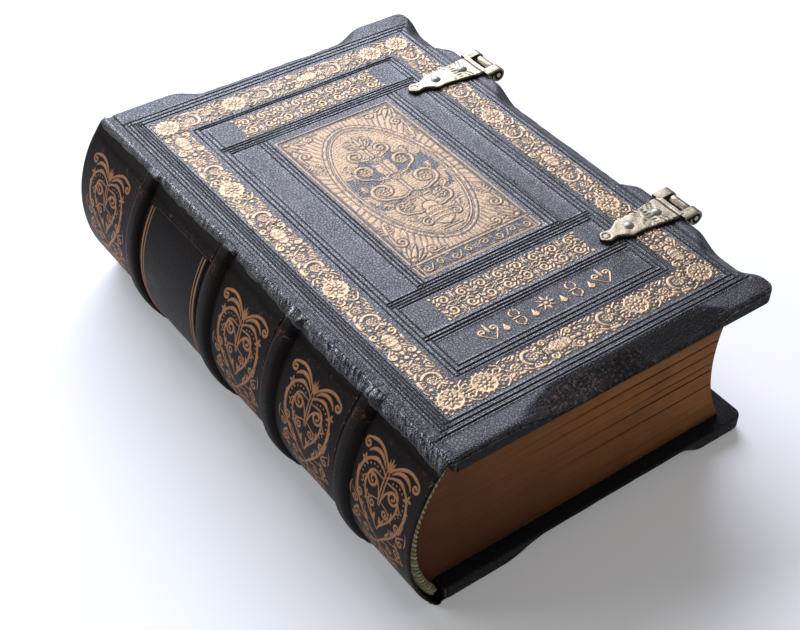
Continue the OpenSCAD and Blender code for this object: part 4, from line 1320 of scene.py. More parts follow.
def draw_panel(tool, wide, high):
    """The centre panel: a vase of scrolling vine in an oval on an engraved ground, and a strip below it."""
    tool.move()
    u, v = tool.u, tool.v
    a, foot = wide / 2 - 2.2, -high / 2 + 8.8
    top = high / 2 - 2.2
    cy, b = (foot + top) / 2, (top - foot) / 2
    w = v - cy
    # The engraved ground, with patches of bare leather
    oval = np.hypot(u / (a * 0.86), w / (b * 0.90))
    rough = smooth_noise(np.abs(u), w, 3.0, 3.4, 201) + 0.6 * smooth_noise(np.abs(u), w, 1.2, 1.3, 203)
    bare = (oval < 0.85) & (np.abs(u) > 3.4 + rough) & (np.abs(w - 12 + 0.5 * np.abs(u)) < 6.5 + 3.0 * rough)
    bare |= (oval < 0.85) & (np.abs(u) > 5.5 + rough) & (np.abs(w + 17 - 0.4 * np.abs(u)) < 2.6 + 2.2 * rough)
    waves = np.sin((w + 1.3 * np.sin(u * 0.33) + 0.8 * rough) * 5.2)
    rays = np.sin(np.arctan2(w, u * b / a) * 84 + 0.9 * rough)
    hatch = np.where(oval < 1, waves, rays)
    ground = 0.5 - 0.34 * smooth(0.35, 0.95, hatch) + 0.12 * rough
    ground = np.where(bare, -1.0, ground)
    inside = (np.abs(u) < a) & (np.abs(w) < b)
    tool.level = np.where(inside, ground, tool.level)
    draw_frame(tool, wide / 2 - 0.6, high / 2 - 0.6, 1.15)
    tool.stroke([(-wide / 2 + 0.6, foot - 0.9), (wide / 2 - 0.6, foot - 0.9)], 0.8)
    # The strip of scrolls at the foot
    middle = (foot - 0.9 - high / 2 + 0.6) / 2
    for side in (1, -1):
        for k in range(4):
            tool.move(side * (3.4 + 6.4 * k), middle)
            up = 1 if k % 2 else -1
            tool.scroll((-3.2 * side, 1.7 * up), (0.2 * side, -0.3 * up), 1.9, 1.2, side * up, 0.95)
            tool.leaf(1.2 * side, 2.2 * up, 90 - 90 * side, 2.6, 1.0)
    tool.move(0, middle)
    tool.rosette(0, 0, 1.9, 6, 0.9)
    draw_frame(tool, wide / 2 - 2.2, 3.15, 0.5, 0.2)
    # The oval with its beads
    tool.move(0, cy)
    tool.ring(0, 0, a * 0.86, b * 0.90, 1.5, lift=0.75)
    tool.ring(0, 0, a * 0.78, b * 0.85, 0.75)
    for k in range(44):
        t = 2 * math.pi * k / 44
        tool.dot(a * 0.86 * math.cos(t), b * 0.90 * math.sin(t), 0.5, moat=0.18)
    # Leaves in the four corners
    for sx in (1, -1):
        for sy in (1, -1):
            tool.move(sx * a, cy + sy * b, 180 if sx > 0 else 0, 1.0, flip=sx * sy < 0)
            tool.scroll((1.5, 17.5), (3.6, 12.0), 2.6, 1.2, 1, 1.4)
            tool.scroll((15.0, 1.5), (10.8, 3.0), 2.1, 1.2, -1, 1.3)
            tool.fan(0.8, 0.8, 52, 5, 84, 9.5, 2.3)
            tool.acanthus(1.7, 17.0, 84, 9.0, 1.7, -18, 4)
            tool.dot(1.4, 1.4, 1.2)
    # The vase and its vine
    leaves = (
        # place, heading, length and bend
        (-13, 1.4, 70, 6.0, 40), (-9.5, 14.5, 200, 6.5, 60), (2.0, 2.2, 64, 6.0, 30), (4.0, 14.8, 160, 6.0, 50),
        (15.5, 2.0, 60, 4.5, 30), (17.0, 12.0, 150, 5.5, 50), (-21.5, 10.5, 170, 4.5, 60), (25.0, 3.4, 20, 6.0, -20),
    )
    for side in (1, -1):
        tool.move(0, cy, 90, flip=side < 0)
        tool.scroll((-19.5, 0.9), (-16.0, 8.2), 4.4, 1.35, -1, 1.7, bend=0.2)
        tool.scroll((-8.5, 0.9), (-3.4, 9.6), 5.6, 1.5, -1, 1.8, bend=0.2)
        tool.scroll((4.5, 0.9), (10.2, 8.6), 5.0, 1.45, -1, 1.7, bend=0.2)
        tool.scroll((17.0, 0.8), (20.5, 5.8), 3.6, 1.3, -1, 1.5, bend=0.2)
        for x, y in ((-16.0, 8.2), (-3.4, 9.6), (10.2, 8.6)):
            tool.rosette(x, y, 2.7, 7, 1.15)
        for x, y, heading, reach, turn in leaves:
            tool.acanthus(x, y, heading, reach, 1.5, turn, 3)
        tool.scroll((-25.0, 3.4), (-27.5, 6.4), 2.3, 1.2, 1, 1.2)
    tool.move(0, cy, 90)
    tool.stroke([(-20, 0), (-10, 0), (0, 0), (10, 0), (24, 0)], 1.3)
    for at, half in ((-33.6, 4.4), (-32.3, 3.2), (-31.1, 1.9)):
        tool.stroke([(at, -half), (at, half)], 1.0, moat=0.22)
    profile = ((-31.2, 2.2), (-30.9, 2.2), (-30.6, 2.6), (-30.0, 4.4), (-27.0, 9.6), (-24.2, 8.6), (-22.4, 4.6),
               (-21.2, 4.2), (-20.2, 6.4))
    tool.stroke([(at, 0) for at, _ in profile], [width for _, width in profile], lift=0.85)
    for at, half in ((-28.8, 3.4), (-26.4, 4.0), (-24.0, 3.4), (-21.6, 1.7)):
        tool.stroke([(at, -half), (at + 0.7, 0), (at, half)], 0.55, moat=0.25)
    for at in (-11.5, 1.5, 14.0):
        tool.dot(at, 0, 1.9, lift=0.8)
        tool.rosette(at, 0, 1.8, 6, 0.8)
    tool.fan(24.0, 0, 0, 7, 140, 8.0, 1.7)
    tool.dot(24.0, 0, 1.2)


def draw_heart(tool):
    """A heart of scrolls with an inner heart and flowers, about 29 mm wide, its point down the back."""
    for side in (1, -1):
        tool.move(flip=side < 0)
        # Two plumes that end in volutes, and the heart's own outline
        tool.curve([(-14.6, 0.5), (-20.0, 4.5), (-20.5, 9.5), (-18.6, 13.0)], 1.1)
        tool.scroll((-19.4, 8.6), (-16.8, 12.4), 1.9, 1.1, -1, 0.95)
        tool.curve([(-14.4, 1.6), (-18.6, 5.0), (-17.6, 9.4), (-14.9, 10.9)], 1.3)
        tool.curve([(-13.8, 3.0), (-15.8, 5.4), (-14.8, 8.0), (-13.4, 9.0)], 0.8)
        tool.curve([(-12.2, 0.4), (-17.0, 5.0), (-16.5, 15.0), (-5.0, 15.2), (4.0, 13.5), (8.0, 5.0),
                    (14.6, 0.2)], 1.05, taper=0.7)
        # The inner heart round a spiral, with teeth on its outer side
        tool.scroll((-11.0, 1.3), (-8.2, 5.2), 3.1, 1.5, -1, 0.95)
        tool.curve([(-4.0, 0.6), (-15.0, 3.0), (-11.5, 12.8), (-3.4, 9.2), (1.5, 7.4), (3.5, 2.2),
                    (8.6, 0.2)], 0.85, taper=0.75)
        for k in range(13):
            a = math.radians(206 - 19 * k)
            tool.dot(-7.4 + 5.4 * math.cos(a), 5.7 + 5.1 * math.sin(a), 0.36)
        tool.scroll((-3.4, 0.9), (-0.4, 3.5), 2.0, 1.3, -1, 0.8)
        tool.leaf(2.2, 1.2, 14, 4.6, 1.2, -20)
        tool.leaf(-3.6, 6.4, 20, 4.2, 1.0, -50)
        tool.scroll((-8.6, 7.6), (-5.6, 8.6), 1.3, 0.9, -1, 0.6)
        tool.leaf(-0.6, 5.6, 60, 2.6, 0.8, -20)
        tool.curve([(1.6, 3.6), (3.0, 3.2), (4.6, 1.8), (6.6, 1.0)], 0.6, taper=0.6)
        tool.rosette(-7.4, 12.6, 1.1, 4, 0.6)
        tool.leaf(7.4, 4.4, 40, 3.2, 1.0, 20)
        tool.leaf(10.6, 2.6, 20, 2.8, 0.9, -20)
        tool.curve([(3.4, 6.4), (5.2, 6.8), (7.0, 6.2), (8.4, 4.6)], 0.6)
        # Flowers and scrolls between the hearts
        tool.rosette(-11.8, 11.2, 2.0, 5, 0.95)
        tool.curve([(-10.0, 12.0), (-6.0, 13.6), (-3.0, 12.8), (-1.4, 11.2)], 0.8)
        tool.scroll((-2.8, 13.0), (0.2, 10.2), 1.9, 1.3, -1, 0.8)
        tool.rosette(4.0, 8.4, 1.6, 5, 0.8)
        tool.leaf(5.4, 6.6, -40, 4.0, 1.0, 20)
        # Scrolls outside the heart's lower half
        tool.scroll((1.4, 14.2), (4.6, 12.4), 1.9, 1.2, 1, 0.85)
        tool.scroll((9.0, 6.6), (10.6, 10.8), 2.3, 1.3, -1, 0.9)
        tool.scroll((12.6, 2.4), (13.6, 6.0), 1.9, 1.2, -1, 0.85)
        tool.leaf(6.8, 9.6, 60, 3.4, 1.1, -30)
        tool.curve([(14.8, 0.6), (18.5, 2.4), (18.0, 7.0), (15.6, 9.4)], 0.9)
        tool.rosette(14.4, 10.6, 1.5, 5, 0.8)
        tool.scroll((10.8, 9.6), (13.0, 13.2), 1.3, 1.0, 1, 0.65)
        tool.leaf(16.4, 3.2, 70, 3.0, 0.9, -20)
        tool.leaf(20.6, 8.2, 20, 3.4, 0.9, 30)
        tool.curve([(-1.0, 14.4), (1.0, 15.6), (3.0, 15.4), (5.0, 14.6)], 0.6)
        tool.scroll((17.2, 1.4), (20.8, 4.8), 2.1, 1.3, -1, 0.85)
        tool.acanthus(18.6, 7.0, 60, 4.6, 1.0, 40, 2)
        tool.curve([(17.5, 0.4), (21.5, 0.8), (23.5, 3.0), (25.8, 1.4)], 0.85)
    tool.move()
    for y in (-0.75, 0.75):
        tool.curve([(-14.2, y * 0.8), (-8.0, y), (-1.6, y * 0.5)], 0.7, taper=0.7)
    tool.fan(-14.0, 0, 180, 5, 70, 5.6, 1.0)
    tool.leaf(14.0, 0, 0, 4.4, 1.2)
    tool.fan(21.6, 0, 0, 3, 60, 3.4, 0.9)
    tool.dot(19.6, 0, 0.7)


def box_middle(low, high):
    """The middle of a box, in X and Y."""
    return (low.x + high.x) / 2, (low.y + high.y) / 2


def draw_single(tool, kind):
    """One of the row's single ornaments: a bud between scrolls, a knot of two rings or a flower."""
    if kind == 0:
        for side in (1, -1):
            tool.scroll((0.2 * side, -3.6), (1.9 * side, 0.4), 1.3, 1.0, side, 0.95)
        tool.leaf(0, -1.0, 90, 4.6, 1.3)
    elif kind == 1:
        for side in (1, -1):
            tool.ring(0, 1.6 * side, 1.5, 1.5, 0.8, moat=0.0)
            tool.leaf(0, 2.8 * side, 90 * side, 1.6, 0.9)
        tool.leaf(-2.4, 0, 0, 4.8, 1.0)
    else:
        for k in range(4):
            tool.leaf(0, 0, 90 * k, 3.6, 1.3)
            tool.leaf(0, 0, 45 + 90 * k, 3.4, 0.9)
        tool.dot(0, 0, 0.8)


class OLDBOOK_OT_gilding(bpy.types.Operator):
    """Lays the gold on the front cover: border, centre panel, two strips and a row of single ornaments"""

    bl_idname = "old_book.gilding"
    bl_label = "Gilding of the cover"

    def execute(self, context):
        rise = sizes().gilt_rise * MM

        def on_cover(x, y, level):
            depth = cover_surface(x - JOINT_X, y, (), (), True)[0]
            return np.stack([x, y, TOTAL_T - depth + level * rise], -1)

        def finish_piece(shell, name, node, gold="cover_gold"):
            place_piece(shell.build(name, finish(gold)), "front_cover", "cover_gold", node)

        # The border: a roll of three motifs on each side, and a flower in each corner
        width, pitch, step = 11.0, 16.95, 0.3
        motifs = []
        for draw in (medallion, scroll_pair, vase):
            tool = Relief(pitch, width, step)
            draw(tool)
            tool.fill(8.3, 5.2)
            motifs.append(tool)
        shell = Shell("top")
        half_x = (BORDER_HIGH.x - BORDER_LOW.x - width) / 2
        half_y = (BORDER_HIGH.y - BORDER_LOW.y - width) / 2
        centre_x = (BORDER_LOW.x + BORDER_HIGH.x) / 2
        order = (0, 1, 2, 1)
        for number in range(4):
            across, along = (half_x, half_y) if number % 2 else (half_y, half_x)
            run = 2 * along - width
            count = int(round(run / pitch))
            c, s = math.cos(math.radians(90 * number)), math.sin(math.radians(90 * number))
            for i in range(count):
                t = -run / 2 + run / count * (i + 0.5)
                motif = motifs[order[(i + 2 * number) % 4]]
                motif.lay(shell, on_cover, centre_x + t * c + across * s, t * s - across * c, 90 * number,
                          run / count / pitch)
        corner = Relief(width, width, step)
        medallion(corner)
        corner.fill(5.3, 5.3)
        for x in (centre_x - half_x, centre_x + half_x):
            for y in (-half_y, half_y):
                corner.lay(shell, on_cover, x, y)
        finish_piece(shell, "gilt_border_roll", "gilt_border")

        # The centre panel
        shell = Shell("top")
        wide, high = PANEL_HIGH.x - PANEL_LOW.x, PANEL_HIGH.y - PANEL_LOW.y
        tool = Relief(wide, high, 0.33)
        draw_panel(tool, wide, high)
        tool.lay(shell, on_cover, *box_middle(PANEL_LOW, PANEL_HIGH))
        finish_piece(shell, "gilt_centre_panel", "gilt_panel", "panel_gold")

        # The two strips
        wide, high = STRIP_HIGH.x - STRIP_LOW.x, STRIP_HIGH.y - STRIP_LOW.y
        tool = Relief(wide, high, 0.25)
        draw_strip(tool, wide - 1.0, high - 0.4, 4)
        tool.fill(wide / 2 - 0.4, high / 2 - 0.3)
        for side, low, high in (("head", STRIP_LOW, STRIP_HIGH), ("tail", LOWER_STRIP_LOW, LOWER_STRIP_HIGH)):
            shell = Shell("top")
            tool.lay(shell, on_cover, *box_middle(low, high))
            finish_piece(shell, "gilt_scrolls_" + side, "gilt_strip_" + side)

        # The row of single ornaments, with a small triangle between each two
        shell = Shell("top")
        tool = Relief(wide, 9.0, 0.22)
        pitch = wide / 5.2
        for i, kind in enumerate((0, 1, 2, 1, 0)):
            tool.move((i - 2) * pitch, size=1.25)
            draw_single(tool, kind)
            if i < 4:
                tool.move((i - 1.5) * pitch, -1.0)
                tool.stroke([(0, -1.2), (0, 1.6)], (3.0, 0.1))
        tool.lay(shell, on_cover, (STRIP_LOW.x + STRIP_HIGH.x) / 2, (ROW_LOW.y + ROW_HIGH.y) / 2)
        finish_piece(shell, "gilt_single_row", "gilt_ornament_row")
        return {"FINISHED"}


class OLDBOOK_OT_spine_gold(bpy.types.Operator):
    """Lays the label with its gold rules and the heart-shaped scrolls on the spine"""

    bl_idname = "old_book.spine_gold"
    bl_label = "Gilding and label of the spine"

    def execute(self, context):
        low, high = LABEL_LOW.y, LABEL_HIGH.y
        label_rise = 0.42
        middle = back_length() / 2

        def on_back(across, along, rise):
            on_label = (across > low) & (across < high)
            under = np.where(on_label, label_rise, leather_waves(middle - along, across))
            return round_back(SPINE_R + rise + under, along / SPINE_R, across)

        def gilded(across, along, level):
            return on_back(across, along, 0.16 * level)

        shell = Shell("top")
        heart = Relief(52.0, 31.0, 0.27, swell=1.12, moats=False)
        draw_heart(heart)
        last = len(FIELD_EDGES) - 2
        for i in range(last + 1):
            if i != LABEL_FIELD:
                edge_low = FIELD_EDGES[i] + (0.8 if i == 0 else 3.4)
                edge_high = FIELD_EDGES[i + 1] - (0.8 if i == last else 3.4)
                heart.lay(shell, gilded, (edge_low + edge_high) / 2, 6.8, -90, stretch=1.1, flip=True)
        reach = math.radians(30.4) * SPINE_R
        rules = Relief(2 * reach, 4.0, 0.25)
        for height, width in ((0.8, 0.95), (-0.8, 0.6)):
            rules.stroke([(-reach, height), (reach, height)], width)
        for at, angle in ((low + 2.4, 90), (high - 2.4, -90)):
            rules.lay(shell, gilded, at, 0.0, angle, flip=True)
        gold = shell.build("spine_gilding_scrolls", finish("spine_gold"))
        place_piece(gold, "book_block", "spine_gold", "spine_gilding")

        shell = Shell("wear", "hollow")
        rounding = 0.45
        stations = np.array((0, 0.12, rounding))
        span = np.radians(31.2) * SPINE_R

        def places(start, stop, count):
            inner = np.linspace(start + 1.2, stop - 1.2, count)
            return np.concatenate([start + stations, inner, stop - stations[::-1]])

        a, b = np.meshgrid(places(low, high, 24), places(-span, span, 46))
        edge = np.minimum(np.minimum(a - low, high - a), span - np.abs(b))
        rise = 0.04 * smooth_noise(a, b, 8, 8, 301) * np.clip(edge, 0, 1) - 0.06 * (edge < 1e-6)
        rise = rise - label_rise * quarter_round(edge, rounding)
        inside = (a > low) & (a < high)
        wear = 0.5 * np.exp(-edge / 0.5)
        shell.grid(on_back(a, b, np.where(inside, rise, rise + 0.36)), flip=True, wear=wear)
        shell.grid(on_back(a, b, np.where(inside, -0.5, -0.1)))
        label = shell.build("spine_label_leather", finish("label_leather"))
        place_piece(label, "book_block", "label_leather", "spine_label")
        return {"FINISHED"}


class OLDBOOK_OT_pages(bpy.types.Operator):
    """Builds the pages with their gatherings, rounded back and hollow fore-edge"""

    bl_idname = "old_book.pages"
    bl_label = "Pages"

    def execute(self, context):
        gap_depth = sizes().page_gap * MM
        low_z = COVER_T + 0.3
        thick = TOTAL_T - COVER_T - 0.3 - low_z
        half = BLOCK_HIGH.y
        # The fore-edge is a hollow arc, which leans back toward its top
        inset_low, inset_high, hollow = 8.4, 15.2, 6.3
        lean = inset_high - inset_low
        chord = math.hypot(thick, lean)
        r = (chord ** 2 / 4 + hollow ** 2) / (2 * hollow)
        hx = FORE_X - (inset_high + inset_low) / 2 + (r - hollow) * thick / chord
        hz = MID_Z + (r - hollow) * lean / chord
        shares = np.linspace(0, 1, 196)
        flat = low_z + thick * shares
        fore = hx - np.sqrt(np.maximum(r ** 2 - (flat - hz) ** 2, 0))
        back_r = SPINE_R - 2.02
        turn = (shares * 2 - 1) * math.radians(SHOULDER_ANGLE - 0.6)
        back_x = AXIS_X - back_r * np.cos(turn)
        back_z = MID_Z + back_r * np.sin(turn)
        numbers = np.arange(len(shares))
        gaps = (
            # share of the thickness, depth
            (0.13, 0.35), (0.36, 0.8), (0.50, 1.0), (0.565, 0.45), (0.66, 0.85), (0.76, 0.9), (0.86, 0.5),
        )
        cut = np.max([np.exp(-((flat - at * thick - low_z) / 0.26) ** 2) * depth for at, depth in gaps], 0)
        # The sides at tail and head
        across = np.concatenate([np.linspace(0, 0.16, 12)[:-1], np.linspace(0.16, 1.0, 34)])
        t, row = np.meshgrid(across, numbers)
        x = back_x[row] + (fore[row] - back_x[row]) * t
        level = flat[row]
        start = JOINT_X - 0.05
        bend = smooth(0.0, 1.0, (start - x) / np.maximum(start - back_x[row], 0.5))
        z = level + (back_z[row] - level) * bend
        leaves = smooth_noise(level, x, 0.55, 60.0, 401) + 0.6 * smooth_noise(level, x, 0.3, 35.0, 403)
        shell = Shell("gap", "inside")
        for side in (-1, 1):
            open_share = smooth(0.25, 0.95, t) if side < 0 else smooth(0.3, 1.0, t)
            depth = gap_depth * cut[row] * open_share + 0.05 * leaves + 0.05
            inset = np.where((t < 1e-6) | (t > 1 - 1e-6), 0.0, np.maximum(depth, 0.0))
            grid = np.stack([x, side * (half - inset), z], -1)
            shell.grid(grid, flip=side > 0, gap=cut[row] * open_share)
        ends = np.stack([x, 0 * x, z], -1)[[0, -1]]
        # The fore-edge and the rounded back
        y, row = np.meshgrid(np.linspace(-half, half, 70), numbers)
        level = flat[row]
        wavy = smooth_noise(level, y, 0.5, 45.0, 411) + 0.6 * smooth_noise(level, y, 0.3, 20.0, 413)
        sink = (0.9 * cut[row] + 0.07 * wavy + 0.07) * np.clip((half - np.abs(y)) / 3.0, 0, 1)
        grid = np.stack([fore[row] - np.maximum(sink, 0), y, level], -1)
        shell.grid(grid, flip=True, gap=cut[row] * 0.9)
        shell.grid(np.stack([back_x[row], y, back_z[row]], -1)[::4, ::3], inside=0.3)
        # The lowest and the highest leaf
        y = np.linspace(-half, half, 30)[:, None] * (0, 1, 0)
        for end, flip in zip(ends, (True, False)):
            shell.grid(end[:, None] + y, flip=flip, inside=1.0)
        block = shell.build("page_block", finish("pages"), weld=0.002, angle=50)
        place_piece(block, "book_block", "pages", "text_block")
        return {"FINISHED"}


def tube(shell, path, r, sides, **values):
    """A closed round tube along a path of points in millimetres."""
    run = np.gradient(path, axis=0)
    run /= np.linalg.norm(run, axis=1, keepdims=True)
    side = np.cross(run, (0.0, 1.0, 0.0))
    side /= np.maximum(np.linalg.norm(side, axis=1, keepdims=True), 1e-9)
    up = np.cross(side, run)
    turn = np.linspace(0, 2 * np.pi, sides, endpoint=False)
    ring = side[:, None] * np.cos(turn)[None, :, None] + up[:, None] * np.sin(turn)[None, :, None]
    first = shell.grid(path[:, None] + ring * r[:, None, None], loop_columns=True, **values)
    shell.cap(first, sides, turned=True)
    shell.cap(first + (len(path) - 1) * sides, sides)


class OLDBOOK_OT_endbands(bpy.types.Operator):
    """Twists the endbands at head and tail"""

    bl_idname = "old_book.endbands"
    bl_label = "Endbands"

    def execute(self, context):
        for name in ("tail_endband", "head_endband"):
            shell = Shell("strand", "dark")
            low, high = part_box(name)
            y = (low.y + high.y) / 2 * MM
            thick = (high.y - low.y) / 2 * MM
            centre_r = SPINE_R - 1.2 - thick - 0.3
            reach = math.radians(SHOULDER_ANGLE - 1.4)
            t = np.linspace(-reach, reach, 150)
            ends = np.minimum(t + reach, reach - t) * centre_r
            fit = np.clip(ends / 1.5 + 0.25, 0, 1)
            # The core under the strands is painted almost black: painted shade between them.
            tube(shell, round_back(centre_r, t, y), thick * 0.6 * fit, 8, strand=0.0, dark=1.0)
            strands = 5
            for k in range(strands):
                twist = t * centre_r / 11.0 * 2 * np.pi + 2 * np.pi * k / strands
                off = thick * 0.7 * fit * (1 + 0.05 * line_noise(t * centre_r, 2.4, 501 + k))
                path = round_back(centre_r + off * np.cos(twist), t, y + off * np.sin(twist))
                tube(shell, path, thick * 0.24 * fit, 6, strand=float(k % 2), dark=0.0)
            band = shell.build(name + "_threads", finish("endband"))
            place_piece(band, "book_block", "endband", name)
        return {"FINISHED"}


PLATE_STATIONS = ((0.0, 0.5), (0.7, 2.1), (2.4, 3.15), (4.4, 2.75), (6.2, 2.3), (8.6, 3.5), (11.4, 5.3),
                  (13.8, 4.9), (18.0, 5.0), (24.9, 5.9), (31.0, 6.7), (35.5, 7.0))


def plate_shell(shell, stations, thick, engraving, placing, steps):
    """A cast plate from its half widths along its length, with a softly rounded and engraved face."""
    stations = np.array(stations)
    along = np.linspace(0, stations[-1, 0], steps)
    half = np.interp(along, stations[:, 0], stations[:, 1])
    for _ in range(2):
        half[1:-1] = (half[:-2] + 2 * half[1:-1] + half[2:]) / 4
    share = np.concatenate([[-1.0, -0.985, -0.94], np.linspace(-0.86, 0.86, 13), [0.94, 0.985, 1.0]])
    s, w = np.meshgrid(share, half)
    a = np.broadcast_to(along[:, None], s.shape)
    v = s * w
    tip = np.minimum(a, 1.2) / 1.2
    rim = 1 - quarter_round(w - np.abs(v), 0.55)
    cut = engraving(a, v, w)
    face = thick * (0.45 + 0.55 * rim) * (0.7 + 0.3 * tip) - 0.26 * cut
    face = face + 0.07 * smooth_noise(a, v, 2.6, 2.2, 501)
    top = np.clip(0.75 * rim + 0.25 - 0.95 * cut, 0, 1)
    first = shell.grid(placing(a, v, face), flip=True, top=top)
    low = shell.grid(placing(a[:, (0, -1)], v[:, (0, -1)], np.zeros((steps, 2))), top=0.2)
    columns = len(share)
    for i in range(steps - 1):
        near, far, foot = first + i * columns, first + (i + 1) * columns, low + 2 * i
        shell.faces.append([foot, foot + 2, far, near])
        shell.faces.append([near + columns - 1, far + columns - 1, foot + 3, foot + 1])
    for i, turned in ((0, False), (steps - 1, True)):
        ring = [first + i * columns + c for c in range(columns)] + [low + 2 * i + 1, low + 2 * i]
        shell.faces.append(ring[::-1] if turned else ring)


def line_cut(distance, width):
    """Depth of an engraved line at distances from its middle, as a share of the full depth."""
    return np.exp(-(distance / width) ** 2)


def plate_engraving(a, v, w):
    """Lines cut in a clasp plate: two that follow its outline and a row of curved veins."""
    follow = 0.5 * line_cut(np.abs(v) - w * 0.8, 0.2) * smooth(9.0, 13.0, a) * (1 - smooth(22, 26, a))
    arcs = np.hypot(a - 24.0, np.abs(v) - 6.4)
    veins = np.max([line_cut(arcs - r, 0.24) for r in (2.2, 3.9, 5.6)], 0)
    veins = veins * (np.abs(v) < w * 0.9) * smooth(18, 21, a) * (1 - smooth(29, 31, a))
    bars = line_cut(a - 33.4, 0.28)
    eye = line_cut(np.hypot(a - 2.6, v) - 1.5, 0.22)
    return np.clip(np.maximum.reduce([follow, veins * 0.9, bars, eye]), 0, 1)


def arm_engraving(a, v, w):
    """Lines cut in a clasp arm."""
    follow = line_cut(np.abs(v) - w * 0.7, 0.2) * smooth(7.0, 9.0, a) * (1 - smooth(51, 53, a))
    bars = line_cut((a - 3.0) % 22.0 - 3.0, 0.25)
    chevrons = line_cut((a + np.abs(v) * 1.2) % 5.0 - 2.5, 0.25) * (np.abs(v) < w * 0.55)
    chevrons = chevrons * smooth(12, 14, a) * (1 - smooth(44, 46, a))
    return np.clip(np.maximum.reduce([follow, bars, chevrons]), 0, 1)


def rolled_ear(shell, y0, y1):
    """A tongue of the plate that is rolled round the hinge pin, leaving an open eye at its end."""
    outer, inner = 3.1, 1.75
    top_z = TOTAL_T + PLATE_LIFT + PLATE_T
    turn = np.radians(np.linspace(88, -196, 30))
    circle = np.stack([np.cos(turn), np.sin(turn)], 1)
    pin = (PIN_X, PIN_Z)
    lead = [(FORE_X - 1.5, top_z), (FORE_X + 1.2, top_z), (FORE_X + 3.0, top_z + 0.18)]
    lead_low = [(x, top_z - 1.15) for x, _ in lead[:2]] + [(FORE_X + 2.9, PIN_Z + inner + 0.1)]
    upper = np.concatenate([lead, pin + outer * circle])
    lower = np.concatenate([lead_low, pin + inner * circle])
    section = np.concatenate([upper, lower[::-1]])
    middle = (upper + lower) / 2
    middle = np.concatenate([middle, middle[::-1]])
    stations = ((y0, 0.82), (y0 + 0.12, 0.95), (y0 + 0.35, 1.0), ((y0 + y1) / 2, 1.0), (y1 - 0.35, 1.0),
                (y1 - 0.12, 0.95), (y1, 0.82))
    grid = [np.insert(middle + (section - middle) * size, 1, y, axis=1) for y, size in stations]
    n = len(upper)
    top = np.tile(np.repeat((0.8, 0.05), n), len(stations))
    first = shell.grid(np.array(grid), loop_columns=True, flip=True, top=top)
    for row, turned in ((0, False), (len(stations) - 1, True)):
        near = first + row * 2 * n
        far = near + 2 * n - 1
        for i in range(n - 1):
            face = [near + i, near + i + 1, far - i - 1, far - i]
            shell.faces.append(face[::-1] if turned else face)


def barrel(shell, y0, y1, r, hole):
    """A knuckle with a hole through it and rounded rims."""
    turn = np.linspace(0, 2 * np.pi, 32, endpoint=False)
    rows = (
        # place along the pin, radius, how much it is rubbed bright
        (y0, hole, 0.2), (y0, r - 0.35, 0.6), (y0 + 0.12, r - 0.1, 1.0), (y0 + 0.4, r, 1.0),
        ((y0 * 2 + y1) / 3, r - 0.06, 0.8), ((y0 + y1 * 2) / 3, r - 0.06, 0.8),
        (y1 - 0.4, r, 1.0), (y1 - 0.12, r - 0.1, 1.0), (y1, r - 0.35, 0.6), (y1, hole, 0.2),
    )
    y, radius, top = np.array(rows).T[:, :, None] + 0 * turn
    grid = np.stack([PIN_X + radius * np.cos(turn), y, PIN_Z + radius * np.sin(turn)], -1)
    shell.grid(grid, loop_rows=True, loop_columns=True, top=top)


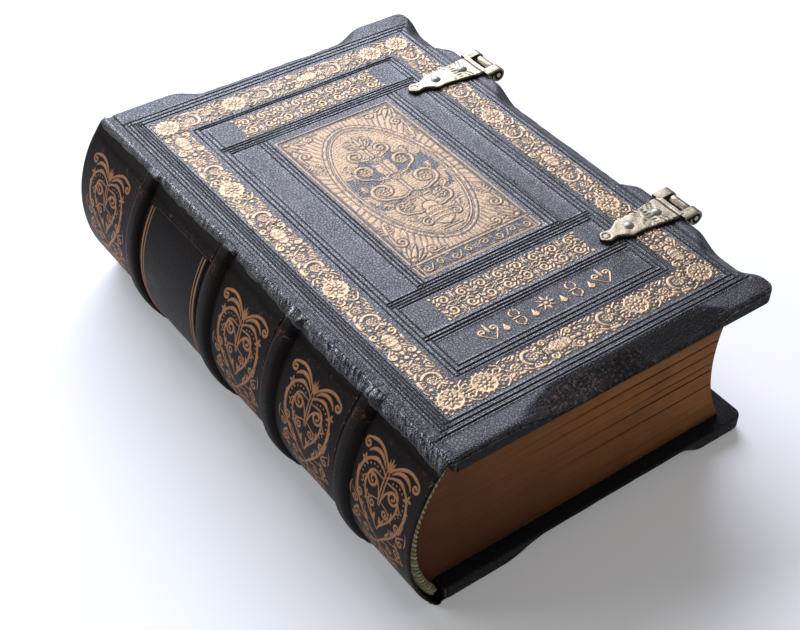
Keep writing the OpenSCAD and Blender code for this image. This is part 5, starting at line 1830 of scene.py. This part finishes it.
class OLDBOOK_OT_clasps(bpy.types.Operator):
    """Casts the two clasps: engraved plates with rolled ears, and arms with hooks"""

    bl_idname = "old_book.clasps"
    bl_label = "Clasps"

    def execute(self, context):
        brass = finish("old_brass")
        for side, name in ((1, "head"), (-1, "tail")):
            y = side * CLASP_Y
            shell = Shell("top")

            def on_plate(a, v, h):
                return np.stack([FORE_X - PLATE_STATIONS[-1][0] + a, y + v, TOTAL_T + PLATE_LIFT + h], -1)

            plate_shell(shell, PLATE_STATIONS, PLATE_T, plate_engraving, on_plate, 70)
            for low, high in ((-9.0, -4.8), (4.8, 9.0)):
                rolled_ear(shell, y + low, y + high)
            plate = shell.build("clasp_leaf_" + name, brass, angle=40)
            place_piece(plate, "front_cover", "old_brass", "clasp_plate_" + name)

            shell = Shell("top")
            barrel(shell, y - 4.5, y + 4.5, 2.5, 1.05)
            strap_top = PIN_Z - 1.5
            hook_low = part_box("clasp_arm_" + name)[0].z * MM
            reach = strap_top - hook_low
            stations = ((0, 4.4), (5.0, 4.5), (8.0, 4.2), (12.0, 3.5), (15.0, 3.2), (reach / 2, 3.6),
                        (reach - 17, 3.2), (reach - 13, 3.6), (reach - 7, 5.2), (reach - 4.5, 5.5),
                        (reach - 0.4, 5.5), (reach, 5.2))

            def on_arm(a, v, h):
                return np.stack([PIN_X - 0.68 + h, y + v, strap_top - a], -1)

            plate_shell(shell, stations, 1.36, arm_engraving, on_arm, 90)
            # The hook reaches in from the arm under the catch
            inner_x = CATCH_HIGH.x + 0.6
            half_w, half_t = 5.45, 0.75
            mid_x, mid_z = (inner_x + PIN_X) / 2, hook_low + half_t
            outline = ((-1, -0.55), (-0.85, -1), (1, -1), (1, 1), (-0.85, 1), (-1, 0.55))
            hook = []
            for v, size in ((-half_w, 0.86), (-half_w + 0.15, 1.0), (half_w - 0.15, 1.0), (half_w, 0.86)):
                wide, high = (PIN_X - inner_x) / 2 * (0.97 + 0.03 * size), half_t * size
                hook.append([(mid_x + wide * a, y + v, mid_z + high * b) for a, b in outline])
            count = len(outline)
            first = shell.grid(np.array(hook), loop_columns=True, flip=True, top=0.6)
            shell.cap(first, count)
            shell.cap(first + 3 * count, count, turned=True)
            arm = shell.build("clasp_strap_" + name, brass, angle=40)
            place_piece(arm, name + "_clasp", "old_brass", "clasp_arm_" + name)
        return {"FINISHED"}


class OLDBOOK_OT_carried(bpy.types.Operator):
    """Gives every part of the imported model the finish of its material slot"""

    bl_idname = "old_book.carried"
    bl_label = "Parts shown as they come"

    def execute(self, context):
        for part in frame["record"]["subparts"]:
            dress(part["node"], part["material_slot"])
        return {"FINISHED"}


class OLDBOOK_PT_panel(bpy.types.Panel):
    """Lists the steps that dress the book"""

    bl_idname = "OLDBOOK_PT_panel"
    bl_label = "Old Book"
    bl_space_type = "VIEW_3D"
    bl_region_type = "UI"
    bl_category = "Old Book"

    def draw(self, context):
        for step in STEPS:
            self.layout.operator(step.bl_idname)
        for group in (context.scene.old_book_sizes, context.scene.old_book_colours):
            for key in group.__annotations__:
                self.layout.prop(group, key)


STEPS = (OLDBOOK_OT_camera, OLDBOOK_OT_stage, OLDBOOK_OT_leather, OLDBOOK_OT_gilding, OLDBOOK_OT_spine_gold,
         OLDBOOK_OT_pages, OLDBOOK_OT_endbands, OLDBOOK_OT_clasps, OLDBOOK_OT_carried)
CLASSES = (BookSizes, BookColours, *STEPS, OLDBOOK_PT_panel)


def register():
    """Registers the add-on's classes and its settings."""
    for cls in CLASSES:
        bpy.utils.register_class(cls)
    bpy.types.Scene.old_book_sizes = bpy.props.PointerProperty(type=BookSizes)
    bpy.types.Scene.old_book_colours = bpy.props.PointerProperty(type=BookColours)


def unregister():
    """Takes the add-on's settings and classes away again."""
    del bpy.types.Scene.old_book_sizes
    del bpy.types.Scene.old_book_colours
    for cls in reversed(CLASSES):
        bpy.utils.unregister_class(cls)


def main():
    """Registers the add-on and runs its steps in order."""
    register()
    for step in STEPS:
        group, name = step.bl_idname.split(".")
        getattr(getattr(bpy.ops, group), name)()


if __name__ == "__main__":
    main()
